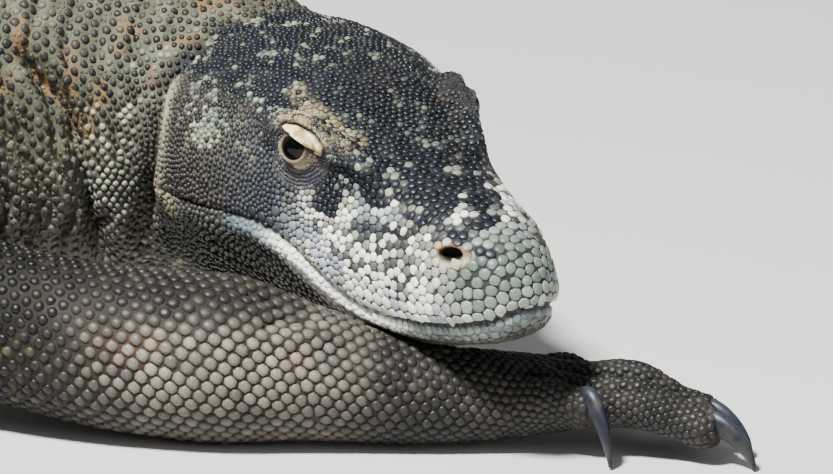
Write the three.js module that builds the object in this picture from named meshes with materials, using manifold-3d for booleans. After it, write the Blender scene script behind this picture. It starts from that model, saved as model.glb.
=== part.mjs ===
// Komodo dragon, an adult about two and a half metres long, resting flat on the floor with its chin on its
// right forearm. Millimetres, +Z up, +X to the animal's front and +Y to its left. The origin lies on the
// floor under the middle of the belly. Each named part of the body is one closed solid.
import * as THREE from 'three';
import { mergeVertices } from 'three/addons/utils/BufferGeometryUtils.js';
import Module from 'manifold-3d';

const wasm = await Module();
wasm.setup();

// ---------------------------------------------------------------- driving dimensions
const GAP = 0.3; // clear space between two neighbouring solids
const CUT_GAP = 0.9; // how much a cutter is fattened, so that flat facets still leave that space
const SLIVER = 0.06; // slivers that the cuts leave are merged where that moves the surface by less than this
const UP = new THREE.Vector3(0, 0, 1);

// The head, in its own frame: x runs forward from the ear openings, y to the left, z up from the lips.
const HEAD_AT = [390, -19, 86];
const HEAD_TURN = 59; // degrees that the snout is turned to the animal's right
const HEAD_NOD = 5.8; // degrees that the snout points down
const HEAD_TILT = 4.9; // degrees that the left side of the head is raised
const NAPE_X = -18;
const HEAD_STATIONS = [
  // x, half width, top, underside, share of the width lost from the lips up to the top
  { x: NAPE_X, w: 58, top: 58, under: -58, lean: 0.1 },
  { x: 8, w: 62, top: 61.5, under: -57, lean: 0.1 },
  { x: 35, w: 63, top: 63, under: -52, lean: 0.13 },
  { x: 60, w: 56.5, top: 61.5, under: -47, lean: 0.13 },
  { x: 86, w: 49, top: 56.5, under: -44, lean: 0.08 },
  { x: 110, w: 43, top: 48, under: -40, lean: 0.15 },
  { x: 140, w: 36, top: 40, under: -32, lean: 0.2 },
  { x: 166, w: 30, top: 35, under: -22, lean: 0.2 },
  { x: 182, w: 24.5, top: 29.5, under: -16, lean: 0.2 },
  { x: 192, w: 16, top: 23, under: -10, lean: 0.2 },
  { x: 198, w: 4.5, top: 10, under: 0, lean: 0.2 },
];
const HEAD_MIDDLE_Z = 4; // the level where the head is widest
const HEAD_SQUARENESS = 2.9;
const HEAD_SIDES = 22;
const HEAD_LENGTHS = 15; // sections from the nape to the snout, less one
const JAW_SLOPE = 0.2; // share of the width lost from the lips down to the underside of the jaw
const MOUTH_CORNER_X = 50;
const MOUTH_DIP = 10; // depth of the sag of the lips halfway along the snout
const MOUTH_RISE = 4; // height of the lips at the snout's tip over those at the corner of the mouth
const JAW_ANGLE = [16, -70]; // the jaw's rear seam runs down and back to this x and z
const EYE_AT = [83.3, 38.1, 44.3];
const EYE_RADIUS = 9;
const EYE_DETAIL = 9;
const BROW = [ // a ridge over each eye that sinks into the snout
  { at: [56, 40, 45], r: 5 },
  { at: [70, 40.5, 49.5], r: 8.2 },
  { at: [88, 36.5, 50.5], r: 8.2 },
  { at: [106, 29, 45.5], r: 6.5 },
  { at: [122, 25, 39.5], r: 4.5 },
];
const BROW_SIDES = 7;
const NOSTRIL = { at: [173, 25, 25], half: [5.5, 5, 3] };

// The spine from the nape to the tip of the tail: the place of each section's middle, its half width, and
// its half height above and below that middle. Undersides reach just through the floor and are trimmed.
const SPINE = [
  { at: [410, -54, 88], w: 58, up: 54, down: 62 }, // inside the head, so that the neck runs into it straight
  { at: [381, -4, 91.5], w: 58, up: 54, down: 62 }, // nape, replaced by the head's own first section
  { at: [352, 21, 98], w: 63, up: 62, down: 78 },
  { at: [305, 33, 99], w: 70, up: 71, down: 83 },
  { at: [245, 31, 97], w: 81, up: 83, down: 84 },
  { at: [180, 22, 94], w: 98, up: 92, down: 95 }, // shoulders
  { at: [90, 10, 88], w: 127, up: 103, down: 93 },
  { at: [-20, 1, 84], w: 147, up: 107, down: 90 },
  { at: [-150, -6, 82], w: 152, up: 105, down: 88 },
  { at: [-280, -8, 78], w: 136, up: 98, down: 83 },
  { at: [-385, -3, 72], w: 108, up: 90, down: 76 },
  { at: [-470, 6, 66], w: 84, up: 80, down: 69 }, // hips
  { at: [-560, 20, 58], w: 60, up: 64, down: 60 },
  { at: [-700, 52, 50], w: 50, up: 54, down: 52 },
  { at: [-860, 92, 43], w: 41, up: 46, down: 45 },
  { at: [-1020, 118, 36], w: 33, up: 38, down: 38 },
  { at: [-1180, 122, 30], w: 26, up: 31, down: 32 },
  { at: [-1330, 100, 24], w: 20, up: 25, down: 26 },
  { at: [-1470, 56, 18], w: 14.5, up: 18, down: 20 },
  { at: [-1590, -4, 12], w: 9.5, up: 12, down: 14 },
  { at: [-1680, -70, 6.5], w: 4.5, up: 6, down: 8.5 },
];
const SPINE_PARTS = [
  // name, first and last station, sections between two stations, sides of a section
  { name: 'neck', from: 1, to: 5, steps: 2, sides: 24 },
  { name: 'trunk', from: 5, to: 11, steps: 2, sides: 24 },
  { name: 'tail_1', from: 11, to: 14, steps: 2, sides: 18 },
  { name: 'tail_2', from: 14, to: 16, steps: 2, sides: 16 },
  { name: 'tail_3', from: 16, to: 18, steps: 2, sides: 14 },
  { name: 'tail_4', from: 18, to: 20, steps: 2, sides: 12 },
];

// A limb from inside the body to the knuckles: the middle of each section, half width and half height.
// Stations 0 to 3 are the upper length, 3 to 6 the lower length and 6 to 8 the palm or sole.
const LIMBS = {
  arm_r: {
    names: ['upper_arm_r', 'forearm_r', 'hand_r'],
    stations: [
      { at: [140, -42, 84], w: 46, h: 52 },
      { at: [205, -86, 62], w: 40, h: 42 },
      { at: [265, -109, 45], w: 31, h: 33 },
      { at: [316, -127, 37], w: 33, h: 34 },
      { at: [358, -136, 34.5], w: 34, h: 35.5 },
      { at: [405, -142, 28], w: 27, h: 27 },
      { at: [448, -147, 22.5], w: 21, h: 21.5 },
      { at: [482, -143, 20.5], w: 24, h: 18 },
      { at: [514, -140, 21], w: 28, h: 14 },
    ],
  },
  arm_l: {
    names: ['upper_arm_l', 'forearm_l', 'hand_l'],
    stations: [
      { at: [205, 66, 84], w: 44, h: 52 },
      { at: [192, 118, 68], w: 40, h: 44 },
      { at: [172, 165, 54], w: 32, h: 36 },
      { at: [165, 208, 42], w: 32, h: 34 },
      { at: [188, 243, 34.5], w: 33, h: 34 },
      { at: [230, 262, 27], w: 27, h: 27 },
      { at: [268, 270, 21], w: 21, h: 20 },
      { at: [300, 276, 17], w: 27, h: 16 },
      { at: [332, 281, 14], w: 33, h: 12 },
    ],
  },
  leg_r: {
    names: ['thigh_r', 'shin_r', 'foot_r'],
    stations: [
      { at: [-455, -30, 78], w: 56, h: 56 },
      { at: [-440, -92, 76], w: 52, h: 54 },
      { at: [-408, -150, 70], w: 45, h: 48 },
      { at: [-376, -204, 58], w: 37, h: 40 },
      { at: [-400, -244, 46], w: 33, h: 36 },
      { at: [-444, -260, 34], w: 27, h: 30 },
      { at: [-478, -282, 23], w: 22, h: 23 },
      { at: [-486, -316, 17], w: 27, h: 17 },
      { at: [-470, -350, 14], w: 34, h: 13 },
    ],
  },
  leg_l: {
    names: ['thigh_l', 'shin_l', 'foot_l'],
    stations: [
      { at: [-455, 34, 76], w: 56, h: 56 },
      { at: [-446, 96, 74], w: 52, h: 54 },
      { at: [-424, 156, 68], w: 45, h: 48 },
      { at: [-402, 212, 57], w: 37, h: 40 },
      { at: [-430, 250, 45], w: 33, h: 36 },
      { at: [-480, 270, 33], w: 27, h: 29 },
      { at: [-518, 292, 23], w: 22, h: 23 },
      { at: [-530, 326, 17], w: 27, h: 17 },
      { at: [-516, 361, 14], w: 34, h: 13 },
    ],
  },
};
const LIMB_SPLITS = [0, 3, 6, 8];
const LIMB_SIDES = 11;

// The digits: root beside the knuckles, then the bend and the claw's base, all relative to the knuckles,
// forward, outward and up, with the digit's radius at its root. The claw's tip is where it meets the floor.
const CLAW = { radius: 6, hook: 5.5 };
const HAND_DIGITS = [
  { root: [-24, -12, -4], bend: [-6, -16, 0], end: [8, -18, -7], tip: [20, -22], r: 8.5 },
  { root: [-10, -12, 0], bend: [16, -4, 2], end: [35, 2, -7], tip: [55, 8], r: 10 },
  { root: [-10, 0, 1], bend: [22, 9, 4], end: [44, 17, -6], tip: [66, 32], r: 11 },
  { root: [-12, 13, -1], bend: [20, 25, 1], end: [43, 34, -6], tip: [65, 50], r: 11 },
  { root: [-36, 12, -4], bend: [-16, 19, 3], end: [-4, 23, 2], tip: [7, 42], r: 9.5 },
];
const FOOT_DIGITS = [
  { root: [-20, -24, -2], bend: [2, -32, 3], end: [22, -38, -4], tip: [42, -44], r: 9 },
  { root: [-6, -16, 0], bend: [20, -21, 4], end: [44, -25, -4], tip: [66, -29], r: 10 },
  { root: [-4, -3, 0], bend: [26, -4, 4], end: [56, -6, -4], tip: [80, -6], r: 10.5 },
  { root: [-6, 10, 0], bend: [28, 14, 4], end: [62, 18, -4], tip: [86, 24], r: 10.5 },
  { root: [-26, 18, -2], bend: [-2, 32, 2], end: [18, 45, -4], tip: [34, 60], r: 9 },
];
const DIGIT_SIDES = 7;
const CLAW_SIDES = 5;

const HIDE = { color: 0x4f4a44, roughness: 0.62 };
const FOREARM_HIDE = { color: 0x6a5f55, roughness: 0.5 };
const FACE_HIDE = { color: 0x5a5f64, roughness: 0.55 };
const LIP_HIDE = { color: 0xb4b6a2, roughness: 0.5 };
const EYE_FINISH = { color: 0x1a120c, roughness: 0.08 };
const CLAW_FINISH = { color: 0x37414c, roughness: 0.35 };

// ---------------------------------------------------------------- solids
const radians = THREE.MathUtils.degToRad;

function toSolid(geometry) {
  const bare = geometry.clone();
  bare.deleteAttribute('normal');
  bare.deleteAttribute('uv');
  const welded = mergeVertices(bare, 1e-4);
  return new wasm.Manifold(new wasm.Mesh({
    numProp: 3,
    vertProperties: new Float32Array(welded.attributes.position.array),
    triVerts: new Uint32Array(welded.index.array),
  }));
}

function toGeometry(solid) {
  const mesh = solid.getMesh();
  const geometry = new THREE.BufferGeometry();
  geometry.setAttribute('position', new THREE.BufferAttribute(mesh.vertProperties, 3));
  geometry.setIndex(new THREE.BufferAttribute(mesh.triVerts, 1));
  geometry.computeVertexNormals();
  return geometry;
}

// A cylinder whose rings of vertices are laid on the given sections. A section gives the place of its
// point at an angle, and shrinks to its middle at reach 0, which closes the two ends.
function loft(sections, sides) {
  const geometry = new THREE.CylinderGeometry(1, 1, 1, sides, sections.length - 1);
  const place = geometry.attributes.position;
  for (let i = 0; i < place.count; i++) {
    const section = sections[Math.round((0.5 - place.getY(i)) * (sections.length - 1))];
    const reach = Math.hypot(place.getX(i), place.getZ(i));
    const point = section(Math.atan2(place.getZ(i), place.getX(i)), reach);
    place.setXYZ(i, point.x, point.y, point.z);
  }
  return toSolid(geometry);
}

const power = (value, exponent) => Math.sign(value) * Math.abs(value) ** exponent;

// An oval section of the body or a limb, across a path that runs along `ahead`.
function ovalSection(middle, ahead, size, grow = 0) {
  const side = new THREE.Vector3().crossVectors(UP, ahead).normalize();
  const rise = new THREE.Vector3().crossVectors(ahead, side).normalize();
  return (angle, reach) => {
    const across = (size.x + grow) * Math.cos(angle) * reach;
    const lift = Math.sin(angle) * reach * ((Math.sin(angle) > 0 ? size.y : size.z) + grow);
    return middle.clone().addScaledVector(side, across).addScaledVector(rise, lift);
  };
}

// Sections along stations `from` to `to`. A length that follows another starts one gap further on.
function sectionsAlong(stations, { from, to, steps, grow = 0 }) {
  const path = new THREE.CatmullRomCurve3(stations.map((s) => new THREE.Vector3(...s.at)));
  const sizes = new THREE.CatmullRomCurve3(
    stations.map((s) => new THREE.Vector3(s.w, s.up ?? s.h, s.down ?? s.h)));
  const sections = [];
  const count = (to - from) * steps;
  for (let i = 0; i <= count; i++) {
    const share = (from + i / steps) / (stations.length - 1);
    const ahead = path.getTangent(share);
    const middle = path.getPoint(share);
    if (i === 0 && from > 0) middle.addScaledVector(ahead, GAP);
    sections.push(ovalSection(middle, ahead, sizes.getPoint(share), grow));
  }
  return sections;
}

function ellipsoid([x, y, z], [a, b, c], detail = 8) {
  const ball = new THREE.SphereGeometry(1, detail, Math.round(detail * 0.7));
  return toSolid(ball.scale(a, b, c).translate(x, y, z));
}

const FLOOR = toSolid(new THREE.BoxGeometry(4000, 2000, 200).translate(-500, 0, -100));
const onFloor = (solid) => solid.subtract(FLOOR);

// ---------------------------------------------------------------- the head and jaw
const headFrame = (() => {
  const turn = radians(HEAD_TURN);
  const nod = radians(HEAD_NOD);
  const tilt = radians(HEAD_TILT);
  const flat = Math.cos(nod);
  const ahead = new THREE.Vector3(Math.cos(turn) * flat, -Math.sin(turn) * flat, -Math.sin(nod));
  const level = new THREE.Vector3(Math.sin(turn), Math.cos(turn), 0);
  const lift = new THREE.Vector3().crossVectors(ahead, level);
  const left = level.clone().multiplyScalar(Math.cos(tilt)).addScaledVector(lift, Math.sin(tilt));
  const top = new THREE.Vector3().crossVectors(ahead, left);
  return new THREE.Matrix4().makeBasis(ahead, left, top).setPosition(...HEAD_AT);
})();

// The head's section at one station, with sides that lean in above and below the lips.
function headSection({ x, w, top, under, lean }) {
  return (angle, reach) => {
    const across = power(Math.cos(angle), 2 / HEAD_SQUARENESS);
    const lift = power(Math.sin(angle), 2 / HEAD_SQUARENESS);
    const lost = lift > 0 ? lean * lift : -JAW_SLOPE * lift;
    const height = lift > 0 ? top - HEAD_MIDDLE_Z : HEAD_MIDDLE_Z - under;
    const y = w * across * (1 - lost) * reach;
    return new THREE.Vector3(x, y, HEAD_MIDDLE_Z + lift * height * reach).applyMatrix4(headFrame);
  };
}

const headStation = (() => {
  const sizes = new THREE.CatmullRomCurve3(HEAD_STATIONS.map((s) => new THREE.Vector3(s.w, s.top, s.under)));
  const places = new THREE.CatmullRomCurve3(HEAD_STATIONS.map((s) => new THREE.Vector3(s.x, 50 * s.lean, 0)));
  return (share) => {
    const size = sizes.getPoint(share);
    const place = places.getPoint(share);
    return { x: place.x, w: size.x, top: size.y, under: size.z, lean: place.y / 50 };
  };
})();

function wholeHead() {
  const sections = [];
  for (let i = 0; i <= HEAD_LENGTHS; i++) sections.push(headSection(headStation(i / HEAD_LENGTHS)));
  let head = loft(sections, HEAD_SIDES);
  for (const side of [-1, 1]) {
    const ridge = taperedTube(BROW.map(({ at }) => mirrored(at, side)), BROW.map(({ r }) => r), 2);
    head = head.add(inHead(loft(ridge, BROW_SIDES)));
    head = head.subtract(inHead(ellipsoid(mirrored(NOSTRIL.at, side), NOSTRIL.half)));
  }
  return head;
}

const mirrored = ([x, y, z], side) => [x, y * side, z];
const inHead = (solid) => solid.transform(headFrame.elements);

// Everything below the lips, ahead of a seam that runs from the corner of the mouth to the jaw's angle.
function belowMouth(drop) {
  const front = HEAD_STATIONS.at(-1).x + 10;
  const outline = new THREE.Shape();
  outline.moveTo(JAW_ANGLE[0] + drop, JAW_ANGLE[1]);
  outline.lineTo(MOUTH_CORNER_X + drop, -drop);
  const steps = 8;
  for (let i = 1; i <= steps; i++) {
    const share = i / steps;
    const x = THREE.MathUtils.lerp(MOUTH_CORNER_X, front, share);
    const sag = MOUTH_DIP * Math.sin(Math.PI * share ** 0.9) - MOUTH_RISE * share ** 2;
    outline.lineTo(x, -drop - sag);
  }
  outline.lineTo(front, JAW_ANGLE[1]);
  const width = 160;
  const block = new THREE.ExtrudeGeometry(outline, { depth: width, bevelEnabled: false });
  return inHead(toSolid(block.rotateX(Math.PI / 2).translate(0, width / 2, 0)));
}

// ---------------------------------------------------------------- limbs, digits and claws
function taperedTube(points, radii, steps, grow = 0) {
  const stations = points.map((at, i) => ({ at, w: radii[i], h: radii[i] }));
  return sectionsAlong(stations, { from: 0, to: points.length - 1, steps, grow });
}

// Places a digit's own forward, outward and up measures at the knuckles of a limb.
function knuckleFrame(stations, outward) {
  const [before, knuckles] = stations.slice(-2).map((s) => new THREE.Vector3(...s.at));
  const ahead = knuckles.clone().sub(before).setZ(0).normalize();
  const side = new THREE.Vector3().crossVectors(UP, ahead).multiplyScalar(outward);
  return ([forward, out, up]) => knuckles.clone().addScaledVector(ahead, forward).addScaledVector(side, out)
    .add(new THREE.Vector3(0, 0, up)).toArray();
}

function digit(toPlace, { root, bend, end, r }, grow = 0) {
  const points = [root, bend, end].map(toPlace);
  return loft(taperedTube(points, [r + 1, r, r - 1.8], 2, grow), DIGIT_SIDES);
}

function claw(toPlace, { end, tip }) {
  const base = toPlace(end);
  const touch = toPlace([...tip, 0]);
  touch[2] = 0.6;
  const crest = base.map((value, i) => THREE.MathUtils.lerp(value, touch[i], 0.55));
  crest[2] += CLAW.hook;
  const inside = base.map((value, i) => value - (crest[i] - value) * 0.35);
  const radii = [CLAW.radius * 0.8, CLAW.radius, CLAW.radius * 0.66, 0.7];
  return loft(taperedTube([inside, base, crest, touch], radii, 2), CLAW_SIDES);
}

// ---------------------------------------------------------------- the assembly
const dragon = new THREE.Group();

function addPart(name, solid, finish) {
  const mesh = new THREE.Mesh(toGeometry(solid.simplify(SLIVER)), new THREE.MeshStandardMaterial(finish));
  mesh.name = name;
  dragon.add(mesh);
}

// Sections from the nape backward. The first lies against the back of the head.
const napeSections = (reach) => {
  const sections = sectionsAlong(SPINE, reach);
  const behindHead = headSection({ ...HEAD_STATIONS[0], x: NAPE_X - GAP });
  sections[0] = (angle, reach) => behindHead(Math.PI - angle, reach); // the spine's path runs backward
  return sections;
};
// The space ahead of the nape's plane, which the folds of the turned neck stay out of.
const aheadOfNape = inHead(toSolid(new THREE.BoxGeometry(300, 300, 300).translate(NAPE_X - GAP + 150, 0, 0)));
const spineSolids = SPINE_PARTS.map((part) => {
  if (part.name !== 'neck') return loft(sectionsAlong(SPINE, part), part.sides);
  return loft(napeSections(part), part.sides).subtract(aheadOfNape);
});
const fatBody = loft(napeSections({ from: 1, to: SPINE_PARTS[2].to, steps: 4, grow: CUT_GAP }), 24);

const armRight = LIMBS.arm_r.stations;
const fatRightArm = loft(sectionsAlong(armRight, { from: 0, to: 8, steps: 2, grow: CUT_GAP }), LIMB_SIDES);

const head = wholeHead().subtract(fatRightArm);
const eyeball = (side, grow) => {
  const radius = EYE_RADIUS + grow;
  return inHead(ellipsoid(mirrored(EYE_AT, side), [radius, radius, radius], EYE_DETAIL));
};
const sockets = [-1, 1].map((side) => eyeball(side, GAP));
const skull = sockets.reduce((solid, socket) => solid.subtract(socket), head.subtract(belowMouth(0)));
addPart('head', skull, FACE_HIDE);
addPart('jaw', head.intersect(belowMouth(GAP)), LIP_HIDE);
for (const [name, side] of [['eye_r', -1], ['eye_l', 1]]) {
  addPart(name, eyeball(side, 0), EYE_FINISH);
}
SPINE_PARTS.forEach((part, i) => addPart(part.name, onFloor(spineSolids[i]), HIDE));

for (const [limb, { names, stations }] of Object.entries(LIMBS)) {
  const outward = limb.endsWith('_l') ? 1 : -1;
  const digits = limb.startsWith('arm') ? HAND_DIGITS : FOOT_DIGITS;
  const toPlace = knuckleFrame(stations, outward);
  const length = (i, grow = 0) => {
    const reach = { from: LIMB_SPLITS[i], to: LIMB_SPLITS[i + 1], steps: 2, grow };
    return loft(sectionsAlong(stations, reach), LIMB_SIDES);
  };
  const withDigits = (palm, grow = 0) => (
    digits.reduce((sum, spec) => sum.add(digit(toPlace, spec, grow)), palm));
  const solids = [
    length(0).subtract(fatBody),
    length(1).subtract(length(0, CUT_GAP)),
    withDigits(length(2)).subtract(length(1, CUT_GAP)),
  ];
  const fatHand = withDigits(length(2, CUT_GAP), CUT_GAP);
  names.forEach((name, i) => {
    addPart(name, onFloor(solids[i]), name.startsWith('forearm') ? FOREARM_HIDE : HIDE);
  });
  digits.forEach((spec, i) => {
    addPart(`claw_${names[2]}_${i + 1}`, onFloor(claw(toPlace, spec).subtract(fatHand)), CLAW_FINISH);
  });
}

export default dragon;
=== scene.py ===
import math

import bmesh
import bpy
import numpy as np
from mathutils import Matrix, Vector, kdtree
from mathutils.bvhtree import BVHTree


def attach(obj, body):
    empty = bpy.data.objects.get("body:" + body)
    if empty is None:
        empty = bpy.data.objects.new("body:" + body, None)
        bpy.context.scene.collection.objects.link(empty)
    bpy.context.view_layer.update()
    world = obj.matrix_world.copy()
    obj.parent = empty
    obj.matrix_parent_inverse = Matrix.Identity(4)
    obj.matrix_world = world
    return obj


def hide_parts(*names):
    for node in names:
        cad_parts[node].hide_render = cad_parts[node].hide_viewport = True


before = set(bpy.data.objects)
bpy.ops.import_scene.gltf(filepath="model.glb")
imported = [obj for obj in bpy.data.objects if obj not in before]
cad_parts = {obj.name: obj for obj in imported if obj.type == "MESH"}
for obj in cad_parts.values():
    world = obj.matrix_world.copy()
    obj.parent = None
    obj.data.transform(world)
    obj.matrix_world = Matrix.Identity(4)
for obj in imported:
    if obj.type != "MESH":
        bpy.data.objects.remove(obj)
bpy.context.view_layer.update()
MM = 0.001

# ---------------------------------------------------------------------------------------------------------
# The body under the hide. Each length of the animal is a loft along a smooth path: head, spine, limbs and
# digits. They are the same stations as the solids, in millimetres, drawn in by the thickness of the scales.

COAT_DEPTH = 1.1
HEAD_AT = np.array([390, -19, 86.0])
HEAD_TURN, HEAD_NOD, HEAD_TILT = np.radians([59, 5.8, 4.9])
NAPE_X = -18
HEAD_MIDDLE_Z = 4
HEAD_SQUARENESS = 2.9
JAW_SLOPE = 0.2
# x, half width, top, underside, share of the width lost up to the top
HEAD_STATIONS = np.array([
    (NAPE_X, 58, 58, -58, 0.1), (8, 62, 61.5, -57, 0.1), (35, 63, 63, -52, 0.13), (60, 56.5, 61.5, -47, 0.13),
    (86, 49, 56.5, -44, 0.08), (110, 43, 48, -40, 0.15), (140, 36, 40, -32, 0.2), (166, 30, 35, -22, 0.2),
    (182, 24.5, 29.5, -16, 0.2), (192, 16, 23, -10, 0.2), (198, 4.5, 10, 0, 0.2)])
BROW = [(56, 40, 45, 5, 5), (70, 40.5, 49.5, 8.5, 8), (88, 36.5, 50.5, 8.5, 8), (106, 29, 45.5, 6.5, 6.5),
        (122, 25, 39.5, 4.5, 4.5)]
# x, y, z, half width, half height above and below, from inside the head to the tail's tip
SPINE = np.array([
    (410, -54, 88, 58, 54, 62), (381, -4, 91.5, 58, 54, 62), (352, 21, 98, 63, 62, 78),
    (305, 33, 99, 70, 71, 83), (245, 31, 97, 81, 83, 84), (180, 22, 94, 98, 92, 95),
    (90, 10, 88, 127, 103, 93), (-20, 1, 84, 147, 107, 90), (-150, -6, 82, 152, 105, 88),
    (-280, -8, 78, 136, 98, 83), (-385, -3, 72, 108, 90, 76), (-470, 6, 66, 84, 80, 69),
    (-560, 20, 58, 60, 64, 60), (-700, 52, 50, 50, 54, 52), (-860, 92, 43, 41, 46, 45),
    (-1020, 118, 36, 33, 38, 38), (-1180, 122, 30, 26, 31, 32), (-1330, 100, 24, 20, 25, 26),
    (-1470, 56, 18, 14.5, 18, 20), (-1590, -4, 12, 9.5, 12, 14), (-1680, -70, 6.5, 4.5, 6, 8.5)])
# x, y, z, half width, half height, from inside the body to the knuckles
LIMBS = {
    "arm_r": [
        (140, -42, 84, 46, 52), (205, -86, 62, 40, 42), (265, -109, 45, 31, 33),
        (316, -127, 37, 33, 34), (358, -136, 34.5, 34, 35.5), (405, -142, 28, 27, 27),
        (448, -147, 22.5, 21, 21.5), (482, -143, 20.5, 24, 18), (514, -140, 21, 28, 14)],
    "arm_l": [
        (205, 66, 84, 44, 52), (192, 118, 68, 40, 44), (172, 165, 54, 32, 36),
        (165, 208, 42, 32, 34), (188, 243, 34.5, 33, 34), (230, 262, 27, 27, 27),
        (268, 270, 21, 21, 20), (300, 276, 17, 27, 16), (332, 281, 14, 33, 12)],
    "leg_r": [
        (-455, -30, 78, 56, 56), (-440, -92, 76, 52, 54), (-408, -150, 70, 45, 48),
        (-376, -204, 58, 37, 40), (-400, -244, 46, 33, 36), (-444, -260, 34, 27, 30),
        (-478, -282, 23, 22, 23), (-486, -316, 17, 27, 17), (-470, -350, 14, 34, 13)],
    "leg_l": [
        (-455, 34, 76, 56, 56), (-446, 96, 74, 52, 54), (-424, 156, 68, 45, 48),
        (-402, 212, 57, 37, 40), (-430, 250, 45, 33, 36), (-480, 270, 33, 27, 29),
        (-518, 292, 23, 22, 23), (-530, 326, 17, 27, 17), (-516, 361, 14, 34, 13)],
}
# Digits as forward, outward and up from the knuckles: root, bend, base of the claw, tip on the floor; radius.
HAND_DIGITS = [
    ((-24, -12, -4), (-6, -16, 0), (8, -18, -7), (20, -22), 8.5),
    ((-10, -12, 0), (16, -4, 2), (35, 2, -7), (55, 8), 10),
    ((-10, 0, 1), (22, 9, 4), (44, 17, -6), (66, 32), 11),
    ((-12, 13, -1), (20, 25, 1), (43, 34, -6), (65, 50), 11),
    ((-36, 12, -4), (-16, 19, 3), (-4, 23, 2), (7, 42), 9.5)]
FOOT_DIGITS = [
    ((-20, -24, -2), (2, -32, 3), (22, -38, -4), (42, -44), 9),
    ((-6, -16, 0), (20, -21, 4), (44, -25, -4), (66, -29), 10),
    ((-4, -3, 0), (26, -4, 4), (56, -6, -4), (80, -6), 10.5),
    ((-6, 10, 0), (28, 14, 4), (62, 18, -4), (86, 24), 10.5),
    ((-26, 18, -2), (-2, 32, 2), (18, 45, -4), (34, 60), 9)]


def unit(vectors):
    return vectors / np.maximum(np.linalg.norm(vectors, axis=-1, keepdims=True), 1e-9)


def smooth(value, low, high):
    """A soft step from 0 at `low` to 1 at `high`."""
    share = np.clip((value - low) / (high - low), 0, 1)
    return share * share * (3 - 2 * share)


def bell(distance, width):
    return np.exp(-(distance / width) ** 2)


def curve(knots, at):
    """A centripetal Catmull-Rom curve through `knots`, read at station numbers `at`."""
    at = np.clip(np.atleast_1d(at).astype(float), 0, len(knots) - 1)
    padded = np.vstack([2 * knots[0] - knots[1], knots, 2 * knots[-1] - knots[-2]])
    first = np.minimum(at.astype(int), len(knots) - 2)
    share = (at - first)[:, None]
    p0, p1, p2, p3 = (padded[first + k] for k in range(4))
    steps = [np.linalg.norm(b - a, axis=1, keepdims=True) for a, b in ((p0, p1), (p1, p2), (p2, p3))]
    g0, g1, g2 = np.sqrt(steps)
    g1 = np.where(g1 < 1e-4, 1, g1)
    g0, g2 = np.where(g0 < 1e-4, g1, g0), np.where(g2 < 1e-4, g1, g2)
    lead = ((p1 - p0) / g0 - (p2 - p0) / (g0 + g1) + (p2 - p1) / g1) * g1
    trail = ((p2 - p1) / g1 - (p3 - p1) / (g1 + g2) + (p3 - p2) / g2) * g1
    return (p1 + share * lead + share ** 2 * (3 * (p2 - p1) - 2 * lead - trail)
            + share ** 3 * (2 * (p1 - p2) + lead + trail))


def oval_rings(stations, at, sides, grow=-COAT_DEPTH):
    """Rings of points round the path of a length of the body, at station numbers `at`."""
    stations = np.asarray(stations, float)
    if stations.shape[1] == 5:
        stations = stations[:, [0, 1, 2, 3, 4, 4]]
    middle = curve(stations[:, :3], at)
    size = np.maximum(curve(stations[:, 3:], at) + grow, 1)
    ahead = unit(curve(stations[:, :3], at + 0.01) - curve(stations[:, :3], at - 0.01))
    side = unit(np.cross((0, 0, 1), ahead))
    rise = unit(np.cross(ahead, side))
    angle = np.linspace(0, 2 * math.pi, sides, endpoint=False)
    across = size[:, :1] * np.cos(angle)
    lift = np.where(np.sin(angle) > 0, size[:, 1:2], size[:, 2:]) * np.sin(angle)
    return middle[:, None] + across[..., None] * side[:, None] + lift[..., None] * rise[:, None]


head_ahead = np.array([math.cos(HEAD_TURN) * math.cos(HEAD_NOD), -math.sin(HEAD_TURN) * math.cos(HEAD_NOD),
                       -math.sin(HEAD_NOD)])
head_level = np.array([math.sin(HEAD_TURN), math.cos(HEAD_TURN), 0])
head_left = head_level * math.cos(HEAD_TILT) + np.cross(head_ahead, head_level) * math.sin(HEAD_TILT)
HEAD_AXES = np.array([head_ahead, head_left, np.cross(head_ahead, head_left)])


def from_head(local):
    return HEAD_AT + np.asarray(local, float) @ HEAD_AXES


def to_head(points):
    return (points - HEAD_AT) @ HEAD_AXES.T


def head_rings(at, sides, grow=-COAT_DEPTH):
    """Rings round the head, in its own frame: x ahead of the ears, y to the left, z above the lips."""
    size = curve(HEAD_STATIONS[:, 1:4], at)
    place = curve(HEAD_STATIONS[:, [0, 4]] * (1, 50), at)
    angle = np.linspace(0, 2 * math.pi, sides, endpoint=False)
    across = np.sign(np.cos(angle)) * np.abs(np.cos(angle)) ** (2 / HEAD_SQUARENESS)
    lift = np.sign(np.sin(angle)) * np.abs(np.sin(angle)) ** (2 / HEAD_SQUARENESS)
    lost = np.where(lift > 0, place[:, 1:] / 50 * lift, -JAW_SLOPE * lift)
    half = np.maximum(size[:, :1] + grow, 2)
    height = np.where(lift > 0, size[:, 1:2] - HEAD_MIDDLE_Z, HEAD_MIDDLE_Z - size[:, 2:]) + grow
    y = half * across * (1 - lost)
    z = HEAD_MIDDLE_Z + lift * np.maximum(height, 2)
    return np.stack([np.broadcast_to(place[:, :1], y.shape), y, z], -1)


def ring_faces(rings, sides, reverse=False):
    """Four-sided faces between each ring of points and the next."""
    k = np.arange(sides)
    after = (k + 1) % sides
    faces = []
    for ring in range(rings - 1):
        low, high = ring * sides, (ring + 1) * sides
        quads = np.stack([low + k, low + after, high + after, high + k], 1)
        faces += (quads[:, ::-1] if reverse else quads).tolist()
    return faces


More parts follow.
